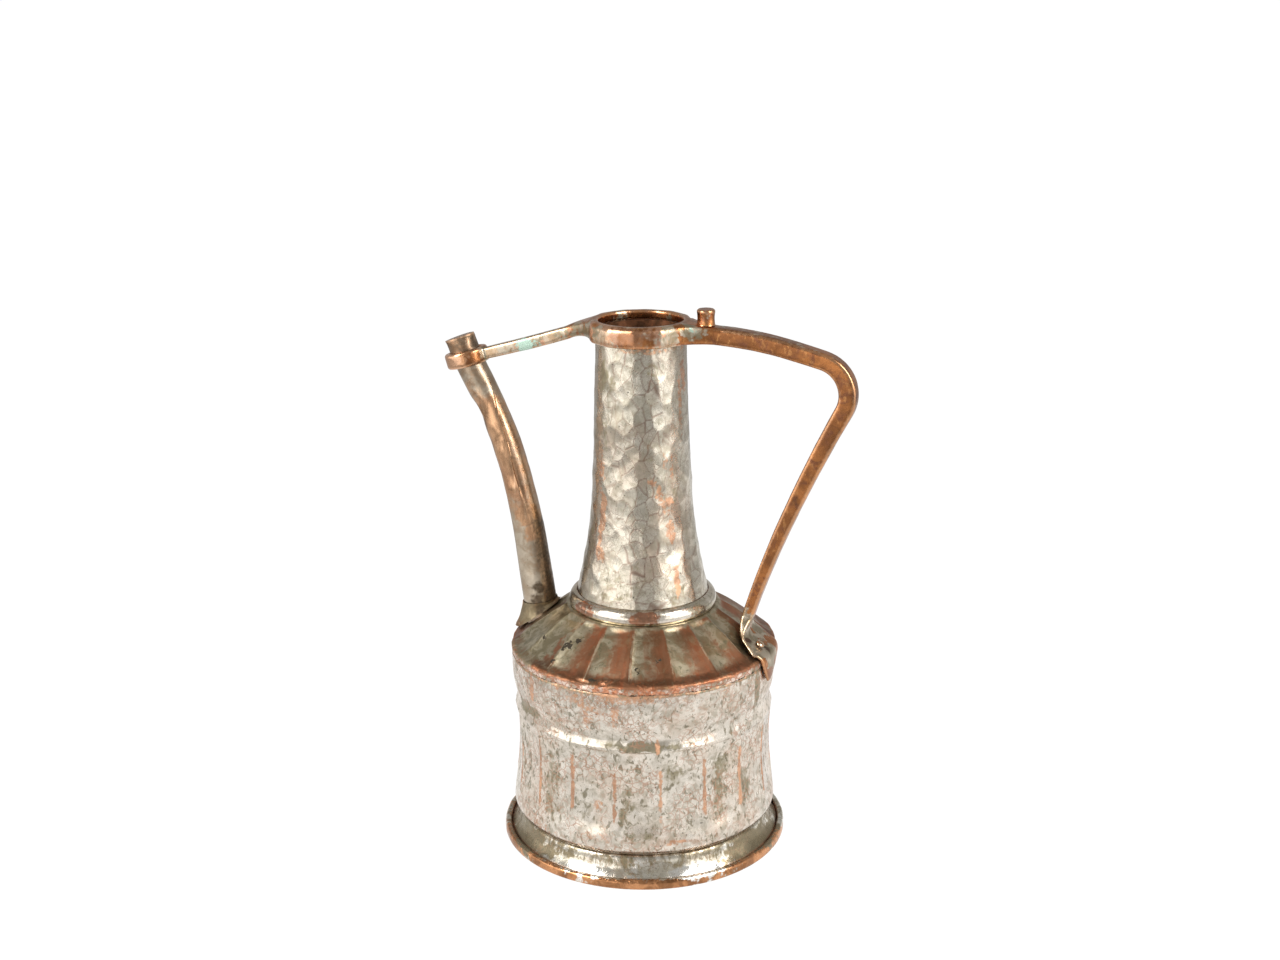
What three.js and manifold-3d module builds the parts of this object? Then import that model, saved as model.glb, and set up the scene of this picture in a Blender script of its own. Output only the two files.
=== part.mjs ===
// Copper ewer: a fluted drum on a flared foot, a fluted shoulder, a tapering neck, a curved spout,
// and one casting that is the mouth collar, the brace to the spout and the handle.
// Millimetres, +Z up. The handle points to +X and the spout to -X.
import * as THREE from 'three';
import * as BufferGeometryUtils from 'three/addons/utils/BufferGeometryUtils.js';
import Module from 'manifold-3d';

// Fits
const fitGap = 0.3; // air between pieces that are soldered, crimped or riveted together

// Foot
const footRadius = 79.5; // to the outside of the rolled edge
const footHeight = 15.3; // floor to the top of the flange under the drum
const footWaistRadius = 69.8; // narrowest part of the flare, below the drum
const footFlangeWidth = 6.5;
const footRimHeight = 5.5;
const footSheet = 0.8;
const rimWireRadius = 0.85;

// Drum
const drumSheet = 1;
const drumBulgeRadius = 73.2; // swelling just above the foot
const drumWaistRadius = 70.3; // middle of the fluted wall, over the ridges
const drumGrooveRadius = 69.5; // shallow groove over the flutes
const drumUpperRadius = 72.6; // plain band under the shoulder
const drumLipWidth = 5.5; // edge turned in under the bottom
const bulgeHeight = 20.5;
const fluteBottomHeight = 26;
const fluteTopHeight = 76;
const grooveHeight = 82;
const upperBandHeight = 104;
const drumFluteDepth = 1.7;
const drumFluteStart = 14.6; // degrees from +X to the first ridge
const fluteCount = 18;

// Bottom
const bottomSheet = 1.2;

// Shoulder
const shoulderSheet = 1;
const rimRadius = 72.9; // outside of the edge turned down over the drum
const rimHeight = 113.6;
const hemDepth = 5;
const shoulderTopHeight = 134.2;
const shoulderTopRadius = 41.5; // where the slope starts, outside the flat seat of the neck
const shoulderHoleRadius = 34.6;
const shoulderSwell = 1.2; // power of the slope: 1 is a straight cone, more is rounder
const shoulderFluteDepth = 1.6;
const shoulderFluteStart = 1.1; // degrees from +X to the first ridge
const shoulderFluteLean = 0.72;

// Neck
const neckSheet = 1;
const neckFootRadius = 37;
const neckTopRadius = 23.8;
const neckTaper = 0.03; // radius lost for each millimetre of height above the flare
const neckFlareLength = 33.5;
const neckFlarePower = 1.5;

// Moulding ring over the foot of the neck
const neckRingThickness = 3.1;
const neckRingHeight = 7.6;

// Mouth collar
const mouthHeight = 292;
const mouthRadius = 22.4;
const collarRadius = 28.6; // over the corners of its facets
const collarHeight = 11.2;
const collarBevel = 2.6;
const collarLipHeight = 5; // lip that covers the raw edge of the neck
const collarFacets = 12;
const collarFacetStart = 9.6; // degrees from +X to the first corner

// Handle
const handleReach = 116.2; // axis to the outside of the bend
const handleBendRadius = 18.4; // middle of the bar
const handleBendDrop = 34.6; // mouth to the centre of the bend
const handleBarWidth = 10;
const handleArmThickness = 9.4;
const handleBendThickness = 9.6;
const handleFootThickness = 6.2;
const handleRootThickness = 11.4;
const handleRootWidth = 25;
const handleRootLength = 20;
const handleArmSlope = 15; // degrees, where the arm meets the bend
const handleLegSlope = 27.5; // degrees from upright, where the leg leaves the bend
const handleFootRadius = 58.4; // axis to the leg where it meets the shoulder
const handleFootSlope = 17; // degrees from upright, where the leg meets the shoulder
const leafThickness = 2;
const leafNeckWidth = 27;
const leafRimWidth = 32;
const leafTabWidth = 27; // where it bends down over the hem
const leafTabLength = 11.5; // how far the point hangs down the drum
const leafPointWidth = 3.4;
const leafPointSide = -9; // the point hangs to one side of the handle

// Brace and spout ring
const braceThickness = 6.5;
const braceWidth = 6.4;
const braceRootThickness = 10.4;
const braceRootLength = 16;
const spoutRingDistance = 99.5; // jug axis to the middle of the ring
const spoutRingHeight = 265.3;
const spoutRingTilt = 15; // degrees, leaning away from the jug
const spoutRingWall = 3;
const spoutRingDepth = 8.6;

// Spout
const spoutWall = 1;
const spoutRootDistance = 59.6; // jug axis to the middle of the root, on the shoulder
const spoutRootLean = 8; // degrees from upright
const spoutRootRadius = 9.4;
const spoutKneeDistance = 73.6;
const spoutKneeHeight = 205;
const spoutKneeLean = 15;
const spoutUpperRadius = 8.3;
const spoutTipLength = 12; // middle of the ring to the lip
const spoutTipLean = 19;
const spoutLap = 0.6; // step of the lapped seam down the tube

// Solder collar at the root of the spout
const rootCollarHeight = 0.8; // over the slope, on the side towards the neck
const rootCollarTopWall = 1.1;
const rootCollarFootWall = 3;
const rootCollarFlare = 0.14; // widening for each millimetre further down the slope

// Pin that the lost lid turned on
const pinDistance = 35.5; // jug axis to the pin
const pinRadius = 4.9;
const pinHeight = 6.4;
const pinShankRadius = 2.6;

// Rivet of the handle's leaf
const rivetRadius = 2.4;
const rivetShankRadius = 1.3;
const rivetDome = 1.3;
const rivetTail = 1.2;
const rivetDistance = 67.3; // jug axis to the rivet
const rivetSide = -8; // across the leaf

// Fineness of the faceted surfaces
const stepsPerFlute = 3;
const roundSteps = 40;
const footSteps = 40;
const spoutSteps = 18;

const wasm = await Module();
wasm.setup();

const radians = THREE.MathUtils.degToRad;
const lerp = THREE.MathUtils.lerp;
const smoothstep = THREE.MathUtils.smoothstep;
const point = (r, z) => new THREE.Vector2(r, z);
const fluteSteps = fluteCount * stepsPerFlute;
const shoulderLean = Math.atan2(shoulderTopHeight - rimHeight, rimRadius - shoulderTopRadius);

// Turning
// Volume enclosed by a triangle mesh, negative when its faces look inwards
function signedVolume(geometry) {
  const position = geometry.attributes.position;
  const corners = [new THREE.Vector3(), new THREE.Vector3(), new THREE.Vector3()];
  let volume = 0;
  for (let i = 0; i < geometry.index.count; i += 3) {
    corners.forEach((corner, k) => corner.fromBufferAttribute(position, geometry.index.getX(i + k)));
    volume += corners[0].dot(corners[1].cross(corners[2])) / 6;
  }
  return volume;
}

// Positions only, shared vertices merged, faces looking out
function closedSolid(geometry) {
  geometry.deleteAttribute('normal');
  geometry.deleteAttribute('uv');
  const merged = BufferGeometryUtils.mergeVertices(geometry, 1e-4);
  const kept = [];
  for (let i = 0; i < merged.index.count; i += 3) {
    const [a, b, c] = [0, 1, 2].map((k) => merged.index.getX(i + k));
    if (a !== b && b !== c && c !== a) kept.push(a, b, c);
  }
  merged.setIndex(kept);
  if (signedVolume(merged) < 0) merged.setIndex(kept.reverse());
  return merged;
}

// Revolves a closed profile of (radius, height) points; relief(radius, height, angle) moves each point
function turned(profile, steps, startAngle = 0, relief = null) {
  const outline = [...profile, profile[0]];
  const geometry = new THREE.LatheGeometry(outline, steps, startAngle + Math.PI / 2);
  geometry.rotateX(Math.PI / 2);
  if (relief) {
    const position = geometry.attributes.position;
    for (let i = 0; i < position.count; i += 1) {
      const radius = Math.hypot(position.getX(i), position.getY(i));
      const angle = Math.atan2(position.getY(i), position.getX(i));
      const moved = relief(radius, position.getZ(i), angle);
      position.setXYZ(i, moved.x * Math.cos(angle), moved.x * Math.sin(angle), moved.y);
    }
  }
  return closedSolid(geometry);
}

// Gives a line of (radius, height) points the thickness of the sheet, half to each side
function sheetProfile(line, thickness) {
  const sides = line.map((p, i) => {
    const before = line[Math.max(i - 1, 0)];
    const after = line[Math.min(i + 1, line.length - 1)];
    const into = p.clone().sub(before).normalize();
    const out = after.clone().sub(p).normalize();
    const along = into.clone().add(out).normalize();
    const mitre = Math.max(along.dot(into.lengthSq() > 0 ? into : out), 0.7);
    return point(-along.y, along.x).multiplyScalar(thickness / 2 / mitre);
  });
  const left = line.map((p, i) => p.clone().add(sides[i]));
  const right = line.map((p, i) => p.clone().sub(sides[i]));
  return [...left, ...right.reverse()];
}

// Booleans
function toManifold(geometry) {
  return new wasm.Manifold(new wasm.Mesh({
    numProp: 3,
    vertProperties: new Float32Array(geometry.attributes.position.array),
    triVerts: new Uint32Array(geometry.index.array),
  }));
}

function fromManifold(solid) {
  const mesh = solid.getMesh();
  const geometry = new THREE.BufferGeometry();
  geometry.setAttribute('position', new THREE.BufferAttribute(new Float32Array(mesh.vertProperties), 3));
  geometry.setIndex(new THREE.BufferAttribute(new Uint32Array(mesh.triVerts), 1));
  return geometry;
}

function cut(geometry, ...tools) {
  const solid = tools.reduce((rest, tool) => rest.subtract(toManifold(tool)), toManifold(geometry));
  return fromManifold(solid);
}

function join(...geometries) {
  const solids = geometries.map(toManifold);
  return fromManifold(solids.reduce((whole, solid) => whole.add(solid)));
}

// Lofts
// Skins rings of equally many points; joined rings close on themselves, others get flat ends
function loft(rings, joined) {
  const size = rings[0].length;
  const vertices = rings.flat();
  const faces = [];
  const ringPairs = joined ? rings.length : rings.length - 1;
  for (let i = 0; i < ringPairs; i += 1) {
    const low = i * size;
    const high = ((i + 1) % rings.length) * size;
    for (let k = 0; k < size; k += 1) {
      const next = (k + 1) % size;
      faces.push(low + k, low + next, high + next, low + k, high + next, high + k);
    }
  }
  if (!joined) {
    [rings[0], rings[rings.length - 1]].forEach((ring, end) => {
      const middle = ring.reduce((sum, p) => sum.add(p), new THREE.Vector3()).divideScalar(size);
      const centre = vertices.push(middle) - 1;
      const first = end * (rings.length - 1) * size;
      for (let k = 0; k < size; k += 1) {
        const pair = [first + k, first + ((k + 1) % size)];
        if (end === 0) pair.reverse();
        faces.push(centre, ...pair);
      }
    });
  }
  const geometry = new THREE.BufferGeometry().setFromPoints(vertices);
  geometry.setIndex(faces);
  return closedSolid(geometry);
}

// Flutes: hollows between sharp ridges; with a lean below 1 each is deepest near its first ridge
function fluteHollow(angle, start, lean = 1) {
  const turn = (angle - radians(start)) * fluteCount / (2 * Math.PI);
  const way = turn - Math.floor(turn);
  return Math.abs(Math.sin(Math.PI * way ** lean));
}

// Foot: flange under the drum, hollow flare, and an edge rolled up and over a wire
const rimWallRadius = footRadius - 1.5 * footSheet - 2 * (rimWireRadius + fitGap);
const rimOuterRadius = footRadius - footSheet / 2;
const flangeHeight = footHeight - footSheet / 2;

function footLine() {
  const flare = new THREE.QuadraticBezierCurve(
    point(footWaistRadius - footSheet / 2, flangeHeight - footSheet),
    point(lerp(footWaistRadius, rimWallRadius, 0.45), footRimHeight + footSheet),
    point(rimWallRadius, footRimHeight / 2),
  );
  const floor = footSheet / 2;
  const turn = footSheet;
  return [
    point(footWaistRadius - footFlangeWidth, flangeHeight),
    point(footWaistRadius - 2 * footSheet, flangeHeight),
    ...flare.getPoints(4),
    point(rimWallRadius + turn, floor),
    point(rimOuterRadius - turn, floor),
    point(rimOuterRadius, floor + turn),
    point(rimOuterRadius - 0.4 * turn, footRimHeight - 1.6 * turn),
    point(rimOuterRadius - 2.4 * turn, footRimHeight - 0.5 * turn),
  ];
}

function makeFoot() {
  return turned(sheetProfile(footLine(), footSheet), footSteps);
}

function makeRimWire() {
  const across = 6;
  const centre = point((rimWallRadius + rimOuterRadius) / 2, footSheet + fitGap + rimWireRadius);
  const section = Array.from({ length: across }, (_, k) => {
    const angle = (2 * Math.PI * k) / across;
    return point(centre.x + rimWireRadius * Math.cos(angle), centre.y + rimWireRadius * Math.sin(angle));
  });
  return turned(section, footSteps);
}

// Drum: lip turned in under the bottom, bulge, fluted wall, groove, plain band, neck for the shoulder's hem
const drumLipHeight = footHeight + fitGap + drumSheet / 2;
const drumTopHeight = rimHeight - shoulderSheet - 3 * fitGap;
const drumTopRadius = rimRadius - shoulderSheet - fitGap - drumSheet / 2;

function drumLine() {
  const half = drumSheet / 2;
  const wall = new THREE.SplineCurve([
    point(drumBulgeRadius - half, bulgeHeight),
    point(lerp(drumWaistRadius, drumBulgeRadius, 0.7) - half, lerp(bulgeHeight, fluteTopHeight, 0.2)),
    point(drumWaistRadius - half, lerp(bulgeHeight, fluteTopHeight, 0.65)),
    point(lerp(drumWaistRadius, drumUpperRadius, 0.3) - half, fluteTopHeight),
    point(drumGrooveRadius - half, grooveHeight),
    point(lerp(drumGrooveRadius, drumUpperRadius, 0.6) - half, lerp(grooveHeight, upperBandHeight, 0.3)),
    point(drumUpperRadius - half, upperBandHeight),
  ]);
  const hemFoot = rimHeight - hemDepth - fitGap;
  return [
    point(footWaistRadius - drumLipWidth, drumLipHeight),
    point(footWaistRadius, drumLipHeight),
    point(lerp(footWaistRadius, drumBulgeRadius, 0.6), lerp(drumLipHeight, bulgeHeight, 0.35)),
    ...wall.getPoints(8),
    point(drumTopRadius, hemFoot),
    point(drumTopRadius, drumTopHeight),
  ];
}

function drumRelief(radius, height, angle) {
  const rise = smoothstep(height, fluteBottomHeight, fluteBottomHeight + 6);
  const fall = 1 - smoothstep(height, fluteTopHeight - 2, grooveHeight);
  return point(radius - drumFluteDepth * rise * fall * fluteHollow(angle, drumFluteStart), height);
}

function makeDrum() {
  return turned(sheetProfile(drumLine(), drumSheet), fluteSteps, radians(drumFluteStart), drumRelief);
}

function makeBottom() {
  const seat = drumLipHeight + drumSheet / 2 + fitGap;
  const edge = footWaistRadius - drumSheet / 2 - fitGap;
  const bevel = bottomSheet / 3;
  return turned([
    point(0, seat),
    point(edge - bevel, seat),
    point(edge, seat + bevel),
    point(edge, seat + bottomSheet - bevel),
    point(edge - bevel, seat + bottomSheet),
    point(0, seat + bottomSheet),
  ], roundSteps);
}

// Shoulder: flat seat for the neck, swelling slope with flutes, edge turned down over the drum
const slopeFootRadius = rimRadius - 2 * shoulderSheet;

function shoulderHeightAt(radius) {
  const way = THREE.MathUtils.clamp((radius - shoulderTopRadius) / (slopeFootRadius - shoulderTopRadius), 0, 1);
  return shoulderTopHeight - (shoulderTopHeight - rimHeight) * way ** shoulderSwell;
}

function shoulderLeanAt(radius) {
  const step = 0.5;
  return Math.atan2(shoulderHeightAt(radius - step) - shoulderHeightAt(radius + step), 2 * step);
}

function shoulderRelief(radius, height, angle) {
  const rise = smoothstep(radius, shoulderTopRadius, shoulderTopRadius + 3);
  const fall = 1 - smoothstep(radius, slopeFootRadius - 3, slopeFootRadius + 0.5);
  const depth = shoulderFluteDepth * rise * fall * fluteHollow(angle, shoulderFluteStart, shoulderFluteLean);
  return point(radius - depth * Math.sin(shoulderLean), height - depth * Math.cos(shoulderLean));
}

function shoulderTopLine() {
  const slopeSteps = 5;
  const slope = Array.from({ length: slopeSteps + 1 }, (_, k) => {
    const radius = lerp(shoulderTopRadius, slopeFootRadius, k / slopeSteps);
    return point(radius, shoulderHeightAt(radius));
  });
  return [
    point(shoulderHoleRadius, shoulderTopHeight),
    ...slope,
    point(rimRadius - 0.5 * shoulderSheet, rimHeight - shoulderSheet),
    point(rimRadius, rimHeight - 2.1 * shoulderSheet),
    point(rimRadius, rimHeight - hemDepth),
  ];
}

function makeShoulder() {
  const half = shoulderSheet / 2;
  const middle = shoulderTopLine().map((p) => {
    const onHem = p.x >= rimRadius;
    const onSeat = p.x < shoulderTopRadius;
    const lean = onSeat ? 0 : shoulderLean;
    return onHem ? point(p.x - half, p.y) : point(p.x - half * Math.sin(lean), p.y - half * Math.cos(lean));
  });
  const shell = turned(sheetProfile(middle, shoulderSheet), fluteSteps, radians(shoulderFluteStart), shoulderRelief);
  const throughSheet = 3 * spoutRootSink;
  const spoutHole = alongSpoutRoot(
    new THREE.CylinderGeometry(spoutBoreAtRoot, spoutBoreAtRoot, throughSheet, spoutSteps),
  );
  return cut(shell, spoutHole, rivetHole(rivetShankRadius + fitGap));
}

// Everything below the shoulder's outer skin and its gap, for trimming what stands on it
function belowShoulder() {
  const floor = rimHeight - 4 * hemDepth;
  const skin = shoulderTopLine().slice(0, -1).map((p) => point(p.x, p.y + fitGap));
  const outline = [point(0, floor), point(0, shoulderTopHeight + fitGap), ...skin, point(rimRadius + hemDepth, floor)];
  return turned(outline, fluteSteps, radians(shoulderFluteStart), (radius, height, angle) => (
    height > floor ? shoulderRelief(radius, height, angle) : point(radius, height)
  ));
}

// Neck: straight taper with a flare at the foot
const neckFootHeight = shoulderTopHeight + fitGap;
const neckTopHeight = mouthHeight - collarLipHeight - fitGap;

function neckRadiusAt(height) {
  const flare = neckFootRadius - neckTopRadius - neckTaper * (neckTopHeight - neckFootHeight);
  const rise = Math.max(height - neckFootHeight, 0) / neckFlareLength;
  return neckTopRadius + neckTaper * (neckTopHeight - height) + flare * Math.exp(-(rise ** neckFlarePower));
}

function neckSkin(offset, from, to, count) {
  return Array.from({ length: count + 1 }, (_, k) => {
    const height = lerp(from, to, (k / count) ** 1.25);
    return point(neckRadiusAt(height) + offset, height);
  });
}

function makeNeck() {
  const outside = neckSkin(0, neckFootHeight, neckTopHeight, 9);
  const inside = neckSkin(-neckSheet, neckFootHeight, neckTopHeight, 9).reverse();
  return turned([...outside, ...inside], roundSteps);
}

// Moulding ring round the foot of the neck
function makeNeckRing() {
  const inner = neckFootRadius + fitGap;
  const outer = inner + neckRingThickness;
  const foot = neckFootHeight;
  const top = foot + neckRingHeight;
  const round = neckRingThickness / 2;
  return turned([
    point(inner, foot),
    point(outer - 0.3, foot),
    point(outer - 0.6, foot + 1.5),
    point(outer, top - 1.6 * round),
    point(outer - 0.3 * round, top - 0.5 * round),
    point(outer - round, top),
    point(inner + 0.4 * round, top - 0.4 * round),
    point(inner, top - 1.4 * round),
  ], roundSteps);
}

// Bars: a chamfered section carried along curves in the handle's plane
// Across: share of the half width. Up: share of the half thickness
const barSection = [
  [-0.8, 1], [-0.4, 1], [0, 1], [0.4, 1], [0.8, 1], [1, 0.55],
  [1, -0.55], [0.8, -1], [0.4, -1], [0, -1], [-0.4, -1], [-0.8, -1], [-1, -0.55], [-1, 0.55],
];

// One ring of the bar; wrap bends it round the jug's axis, from 0 for flat to 1 for fully bent
function barRing(centre, tangent, thickness, width, wrap, aside) {
  return barSection.map(([across, up]) => {
    const side = aside + (across * width) / 2;
    const rise = (up * thickness) / 2;
    const radius = centre.x - tangent.y * rise;
    const angle = side / centre.x;
    const bent = point(radius * Math.cos(angle), radius * Math.sin(angle));
    const flat = point(radius, side);
    const place = flat.lerp(bent, wrap);
    return new THREE.Vector3(place.x, place.y, centre.y + tangent.x * rise);
  });
}

// Stretches follow each other: curve, steps, and thickness, width, wrap and sideways shift from start to end
function bar(stretches) {
  const rings = [];
  stretches.forEach((stretch, index) => {
    const wrap = stretch.wrap ?? [0, 0];
    const aside = stretch.aside ?? [0, 0];
    const from = index === 0 ? 0 : 1;
    for (let i = from; i <= stretch.steps; i += 1) {
      const t = i / stretch.steps;
      const eased = 1 - (1 - t) ** (stretch.flare ?? 1);
      rings.push(barRing(
        stretch.curve.getPoint(t),
        stretch.curve.getTangent(t),
        lerp(...stretch.thickness, eased),
        lerp(...stretch.width, eased),
        lerp(...wrap, t),
        lerp(...aside, t),
      ));
    }
  });
  return loft(rings, false);
}

// Handle: arm from the collar, round bend, tapering leg, leaf over the shoulder and down the drum
const collarMiddle = mouthHeight - collarHeight / 2;
const collarFlat = collarRadius * Math.cos(Math.PI / collarFacets);

function directionFrom(start, degrees, length) {
  return point(start.x + length * Math.cos(radians(degrees)), start.y + length * Math.sin(radians(degrees)));
}

function makeHandleBar() {
  const bendCentre = point(
    handleReach - handleBendThickness / 2 - handleBendRadius,
    mouthHeight - handleBendDrop,
  );
  const bend = new THREE.EllipseCurve(
    bendCentre.x,
    bendCentre.y,
    handleBendRadius,
    handleBendRadius,
    radians(90 - handleArmSlope),
    radians(-handleLegSlope),
    true,
  );
  const bendStart = bend.getPoint(0);
  const bendEnd = bend.getPoint(1);

  const rootStart = point((mouthRadius + collarFlat) / 2, collarMiddle - 0.2);
  const rootEnd = point(rootStart.x + handleRootLength, collarMiddle - 1.4);
  const armPull = (bendStart.x - rootEnd.x) * 0.4;
  const arm = new THREE.CubicBezierCurve(
    rootEnd,
    directionFrom(rootEnd, -4, armPull),
    directionFrom(bendStart, 180 - handleArmSlope, armPull),
    bendStart,
  );

  const leafLift = fitGap + leafThickness / 2;
  const leafMiddleAt = (radius) => shoulderHeightAt(radius) + leafLift / Math.cos(shoulderLeanAt(radius));
  const leafStart = point(handleFootRadius + 3.4, leafMiddleAt(handleFootRadius + 3.4));
  const legEnd = point(handleFootRadius + 1.6, leafStart.y + 9.5);
  const legPull = bendEnd.distanceTo(legEnd) * 0.32;
  const leg = new THREE.CubicBezierCurve(
    bendEnd,
    directionFrom(bendEnd, -90 - handleLegSlope, legPull),
    directionFrom(legEnd, 90 - handleFootSlope, legPull),
    legEnd,
  );
  const ankle = new THREE.CubicBezierCurve(
    legEnd,
    directionFrom(legEnd, -90 - handleFootSlope, 5.5),
    directionFrom(leafStart, 180 - THREE.MathUtils.radToDeg(shoulderLeanAt(leafStart.x)), 3.4),
    leafStart,
  );
  const leafTop = new THREE.SplineCurve([0, 0.35, 0.7, 1].map((t) => {
    const radius = lerp(leafStart.x, slopeFootRadius - 1, t);
    return point(radius, leafMiddleAt(radius));
  }));
  const leafEdge = leafTop.getPoint(1);
  const tabRadius = rimRadius + fitGap + leafThickness / 2;
  const tabStart = point(tabRadius, rimHeight - 3 * shoulderSheet);
  const fold = new THREE.QuadraticBezierCurve(leafEdge, point(tabRadius, leafEdge.y - 0.6), tabStart);
  const tab = new THREE.LineCurve(tabStart, point(tabRadius, tabStart.y - leafTabLength));

  return bar([
    {
      curve: new THREE.LineCurve(rootStart, rootEnd),
      steps: 5,
      thickness: [handleRootThickness, handleArmThickness],
      width: [handleRootWidth, handleBarWidth + 1],
      flare: 2,
    },
    {
      curve: arm,
      steps: 5,
      thickness: [handleArmThickness, handleArmThickness - 0.4],
      width: [handleBarWidth + 1, handleBarWidth],
    },
    {
      curve: bend,
      steps: 8,
      thickness: [handleArmThickness - 0.4, handleBendThickness],
      width: [handleBarWidth, handleBarWidth],
    },
    {
      curve: leg,
      steps: 7,
      thickness: [handleBendThickness, handleFootThickness],
      width: [handleBarWidth, handleBarWidth],
    },
    {
      curve: ankle,
      steps: 6,
      thickness: [handleFootThickness, leafThickness],
      width: [handleBarWidth, leafNeckWidth],
      wrap: [0, 1],
      aside: [0, 0.1 * leafPointSide],
    },
    {
      curve: leafTop,
      steps: 3,
      thickness: [leafThickness, leafThickness],
      width: [leafNeckWidth, leafRimWidth],
      wrap: [1, 1],
      aside: [0.1 * leafPointSide, 0.35 * leafPointSide],
    },
    {
      curve: fold,
      steps: 3,
      thickness: [leafThickness, leafThickness],
      width: [leafRimWidth, leafTabWidth],
      wrap: [1, 1],
      aside: [0.35 * leafPointSide, 0.45 * leafPointSide],
    },
    {
      curve: tab,
      steps: 3,
      thickness: [leafThickness, leafThickness * 0.7],
      width: [leafTabWidth, leafPointWidth],
      wrap: [1, 1],
      aside: [0.45 * leafPointSide, leafPointSide],
    },
  ]);
}

// Spout: centre line in the handle's plane, on the -X side
// Its foot starts low enough to be trimmed to the shoulder all round
const spoutRootEdge = spoutRootDistance + spoutRootRadius + rootCollarFootWall;
const spoutRootDrop = shoulderHeightAt(spoutRootDistance) - shoulderHeightAt(spoutRootEdge);
const spoutRootRise = shoulderHeightAt(spoutRootDistance - spoutRootRadius) - shoulderHeightAt(spoutRootDistance);
const spoutRootSink = spoutRootDrop + 3 * shoulderFluteDepth;

function spoutCurve() {
  const root = point(-spoutRootDistance, shoulderHeightAt(spoutRootDistance));
  const knee = point(-spoutKneeDistance, spoutKneeHeight);
  const ring = point(-spoutRingDistance, spoutRingHeight);
  const path = new THREE.CurvePath();
  const start = directionFrom(root, -90 + spoutRootLean, spoutRootSink);
  const lowPull = knee.distanceTo(root) * 0.35;
  const highPull = ring.distanceTo(knee) * 0.36;
  path.add(new THREE.LineCurve(start, root));
  path.add(new THREE.CubicBezierCurve(
    root,
    directionFrom(root, 90 + spoutRootLean, lowPull),
    directionFrom(knee, -90 + spoutKneeLean, lowPull),
    knee,
  ));
  path.add(new THREE.CubicBezierCurve(
    knee,
    directionFrom(knee, 90 + spoutKneeLean, highPull),
    directionFrom(ring, -90 + spoutTipLean + 8, highPull),
    ring,
  ));
  path.add(new THREE.LineCurve(ring, directionFrom(ring, 90 + spoutTipLean, spoutTipLength)));
  return path;
}

const spoutPath = spoutCurve();
const spoutBoreAtRoot = spoutRootRadius - spoutWall;

function spoutRadiusAt(height) {
  const way = THREE.MathUtils.clamp((height - shoulderTopHeight) / (spoutKneeHeight - shoulderTopHeight), 0, 1);
  return lerp(spoutRootRadius, spoutUpperRadius, way);
}

// Rings round the centre line; the lap makes the radius grow once round and step back at the seam
function spoutRings(offset, lap, tail) {
  const stations = [1, 5, 8, 3].flatMap((steps, index) => {
    const curve = spoutPath.curves[index];
    const from = index === 0 ? 0 : 1;
    return Array.from({ length: steps + 1 - from }, (_, k) => {
      const t = (k + from) / steps;
      return { centre: curve.getPoint(t), tangent: curve.getTangent(t) };
    });
  });
  if (tail > 0) {
    const last = stations[stations.length - 1];
    stations.push({ centre: last.centre.clone().addScaledVector(last.tangent, tail), tangent: last.tangent });
  }
  return stations.map(({ centre, tangent }) => {
    const radius = spoutRadiusAt(centre.y) + offset;
    return Array.from({ length: spoutSteps }, (_, k) => {
      const turn = k / spoutSteps;
      const angle = 2 * Math.PI * turn - radians(62);
      const reach = radius + lap * turn;
      const across = reach * Math.cos(angle);
      return new THREE.Vector3(
        centre.x + across * tangent.y,
        reach * Math.sin(angle),
        centre.y - across * tangent.x,
      );
    });
  });
}

function makeSpout() {
  const outside = spoutRings(-spoutLap / 2, spoutLap, 0);
  const inside = spoutRings(-spoutWall - spoutLap / 2, 0, 0).reverse();
  return cut(loft([...outside, ...inside], true), belowShoulder());
}

// Room that the spout needs in what it passes through
function spoutRoom() {
  return loft(spoutRings(fitGap + spoutLap / 2, 0, 5), false);
}

// Puts a solid that stands on the origin at the root of the spout, in line with it
function alongSpoutRoot(geometry) {
  if (geometry.type === 'CylinderGeometry') geometry.rotateX(Math.PI / 2);
  geometry.rotateY(-radians(spoutRootLean));
  geometry.translate(-spoutRootDistance, 0, shoulderHeightAt(spoutRootDistance));
  return closedSolid(geometry);
}

function makeRootCollar() {
  const inner = spoutRootRadius - spoutWall / 2;
  const low = -spoutRootSink;
  const leanRise = spoutRootRadius * Math.sin(radians(spoutRootLean));
  const top = spoutRootRise - leanRise + fitGap + rootCollarHeight;
  const outline = [
    point(inner, low),
    point(spoutRootRadius + rootCollarFootWall - low * rootCollarFlare, low),
    point(spoutRootRadius + rootCollarFootWall, 0),
    point(spoutRootRadius + lerp(rootCollarTopWall, rootCollarFootWall, 0.3), top / 2),
    point(spoutRootRadius + rootCollarTopWall, top),
    point(inner, top),
  ];
  return cut(alongSpoutRoot(turned(outline, spoutSteps)), spoutRoom(), belowShoulder());
}

// Casting: collar, brace, spout ring and handle in one
function collarBlank() {
  const base = mouthHeight - collarHeight;
  return turned([
    point(0, base),
    point(collarRadius - 0.9, base),
    point(collarRadius, base + 1),
    point(collarRadius, mouthHeight - collarBevel),
    point(collarRadius - collarBevel * 0.95, mouthHeight),
    point(0, mouthHeight),
  ], collarFacets, radians(collarFacetStart));
}

function spoutRingBlank() {
  const radius = spoutUpperRadius + spoutLap / 2 + fitGap + spoutRingWall;
  const half = spoutRingDepth / 2;
  const bevel = 1.1;
  const blank = turned([
    point(0, -half),
    point(radius - bevel, -half),
    point(radius, bevel - half),
    point(radius, half - bevel),
    point(radius - bevel, half),
    point(0, half),
  ], spoutSteps);
  blank.rotateY(-radians(spoutRingTilt));
  blank.translate(-spoutRingDistance, 0, spoutRingHeight);
  return blank;
}

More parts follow.
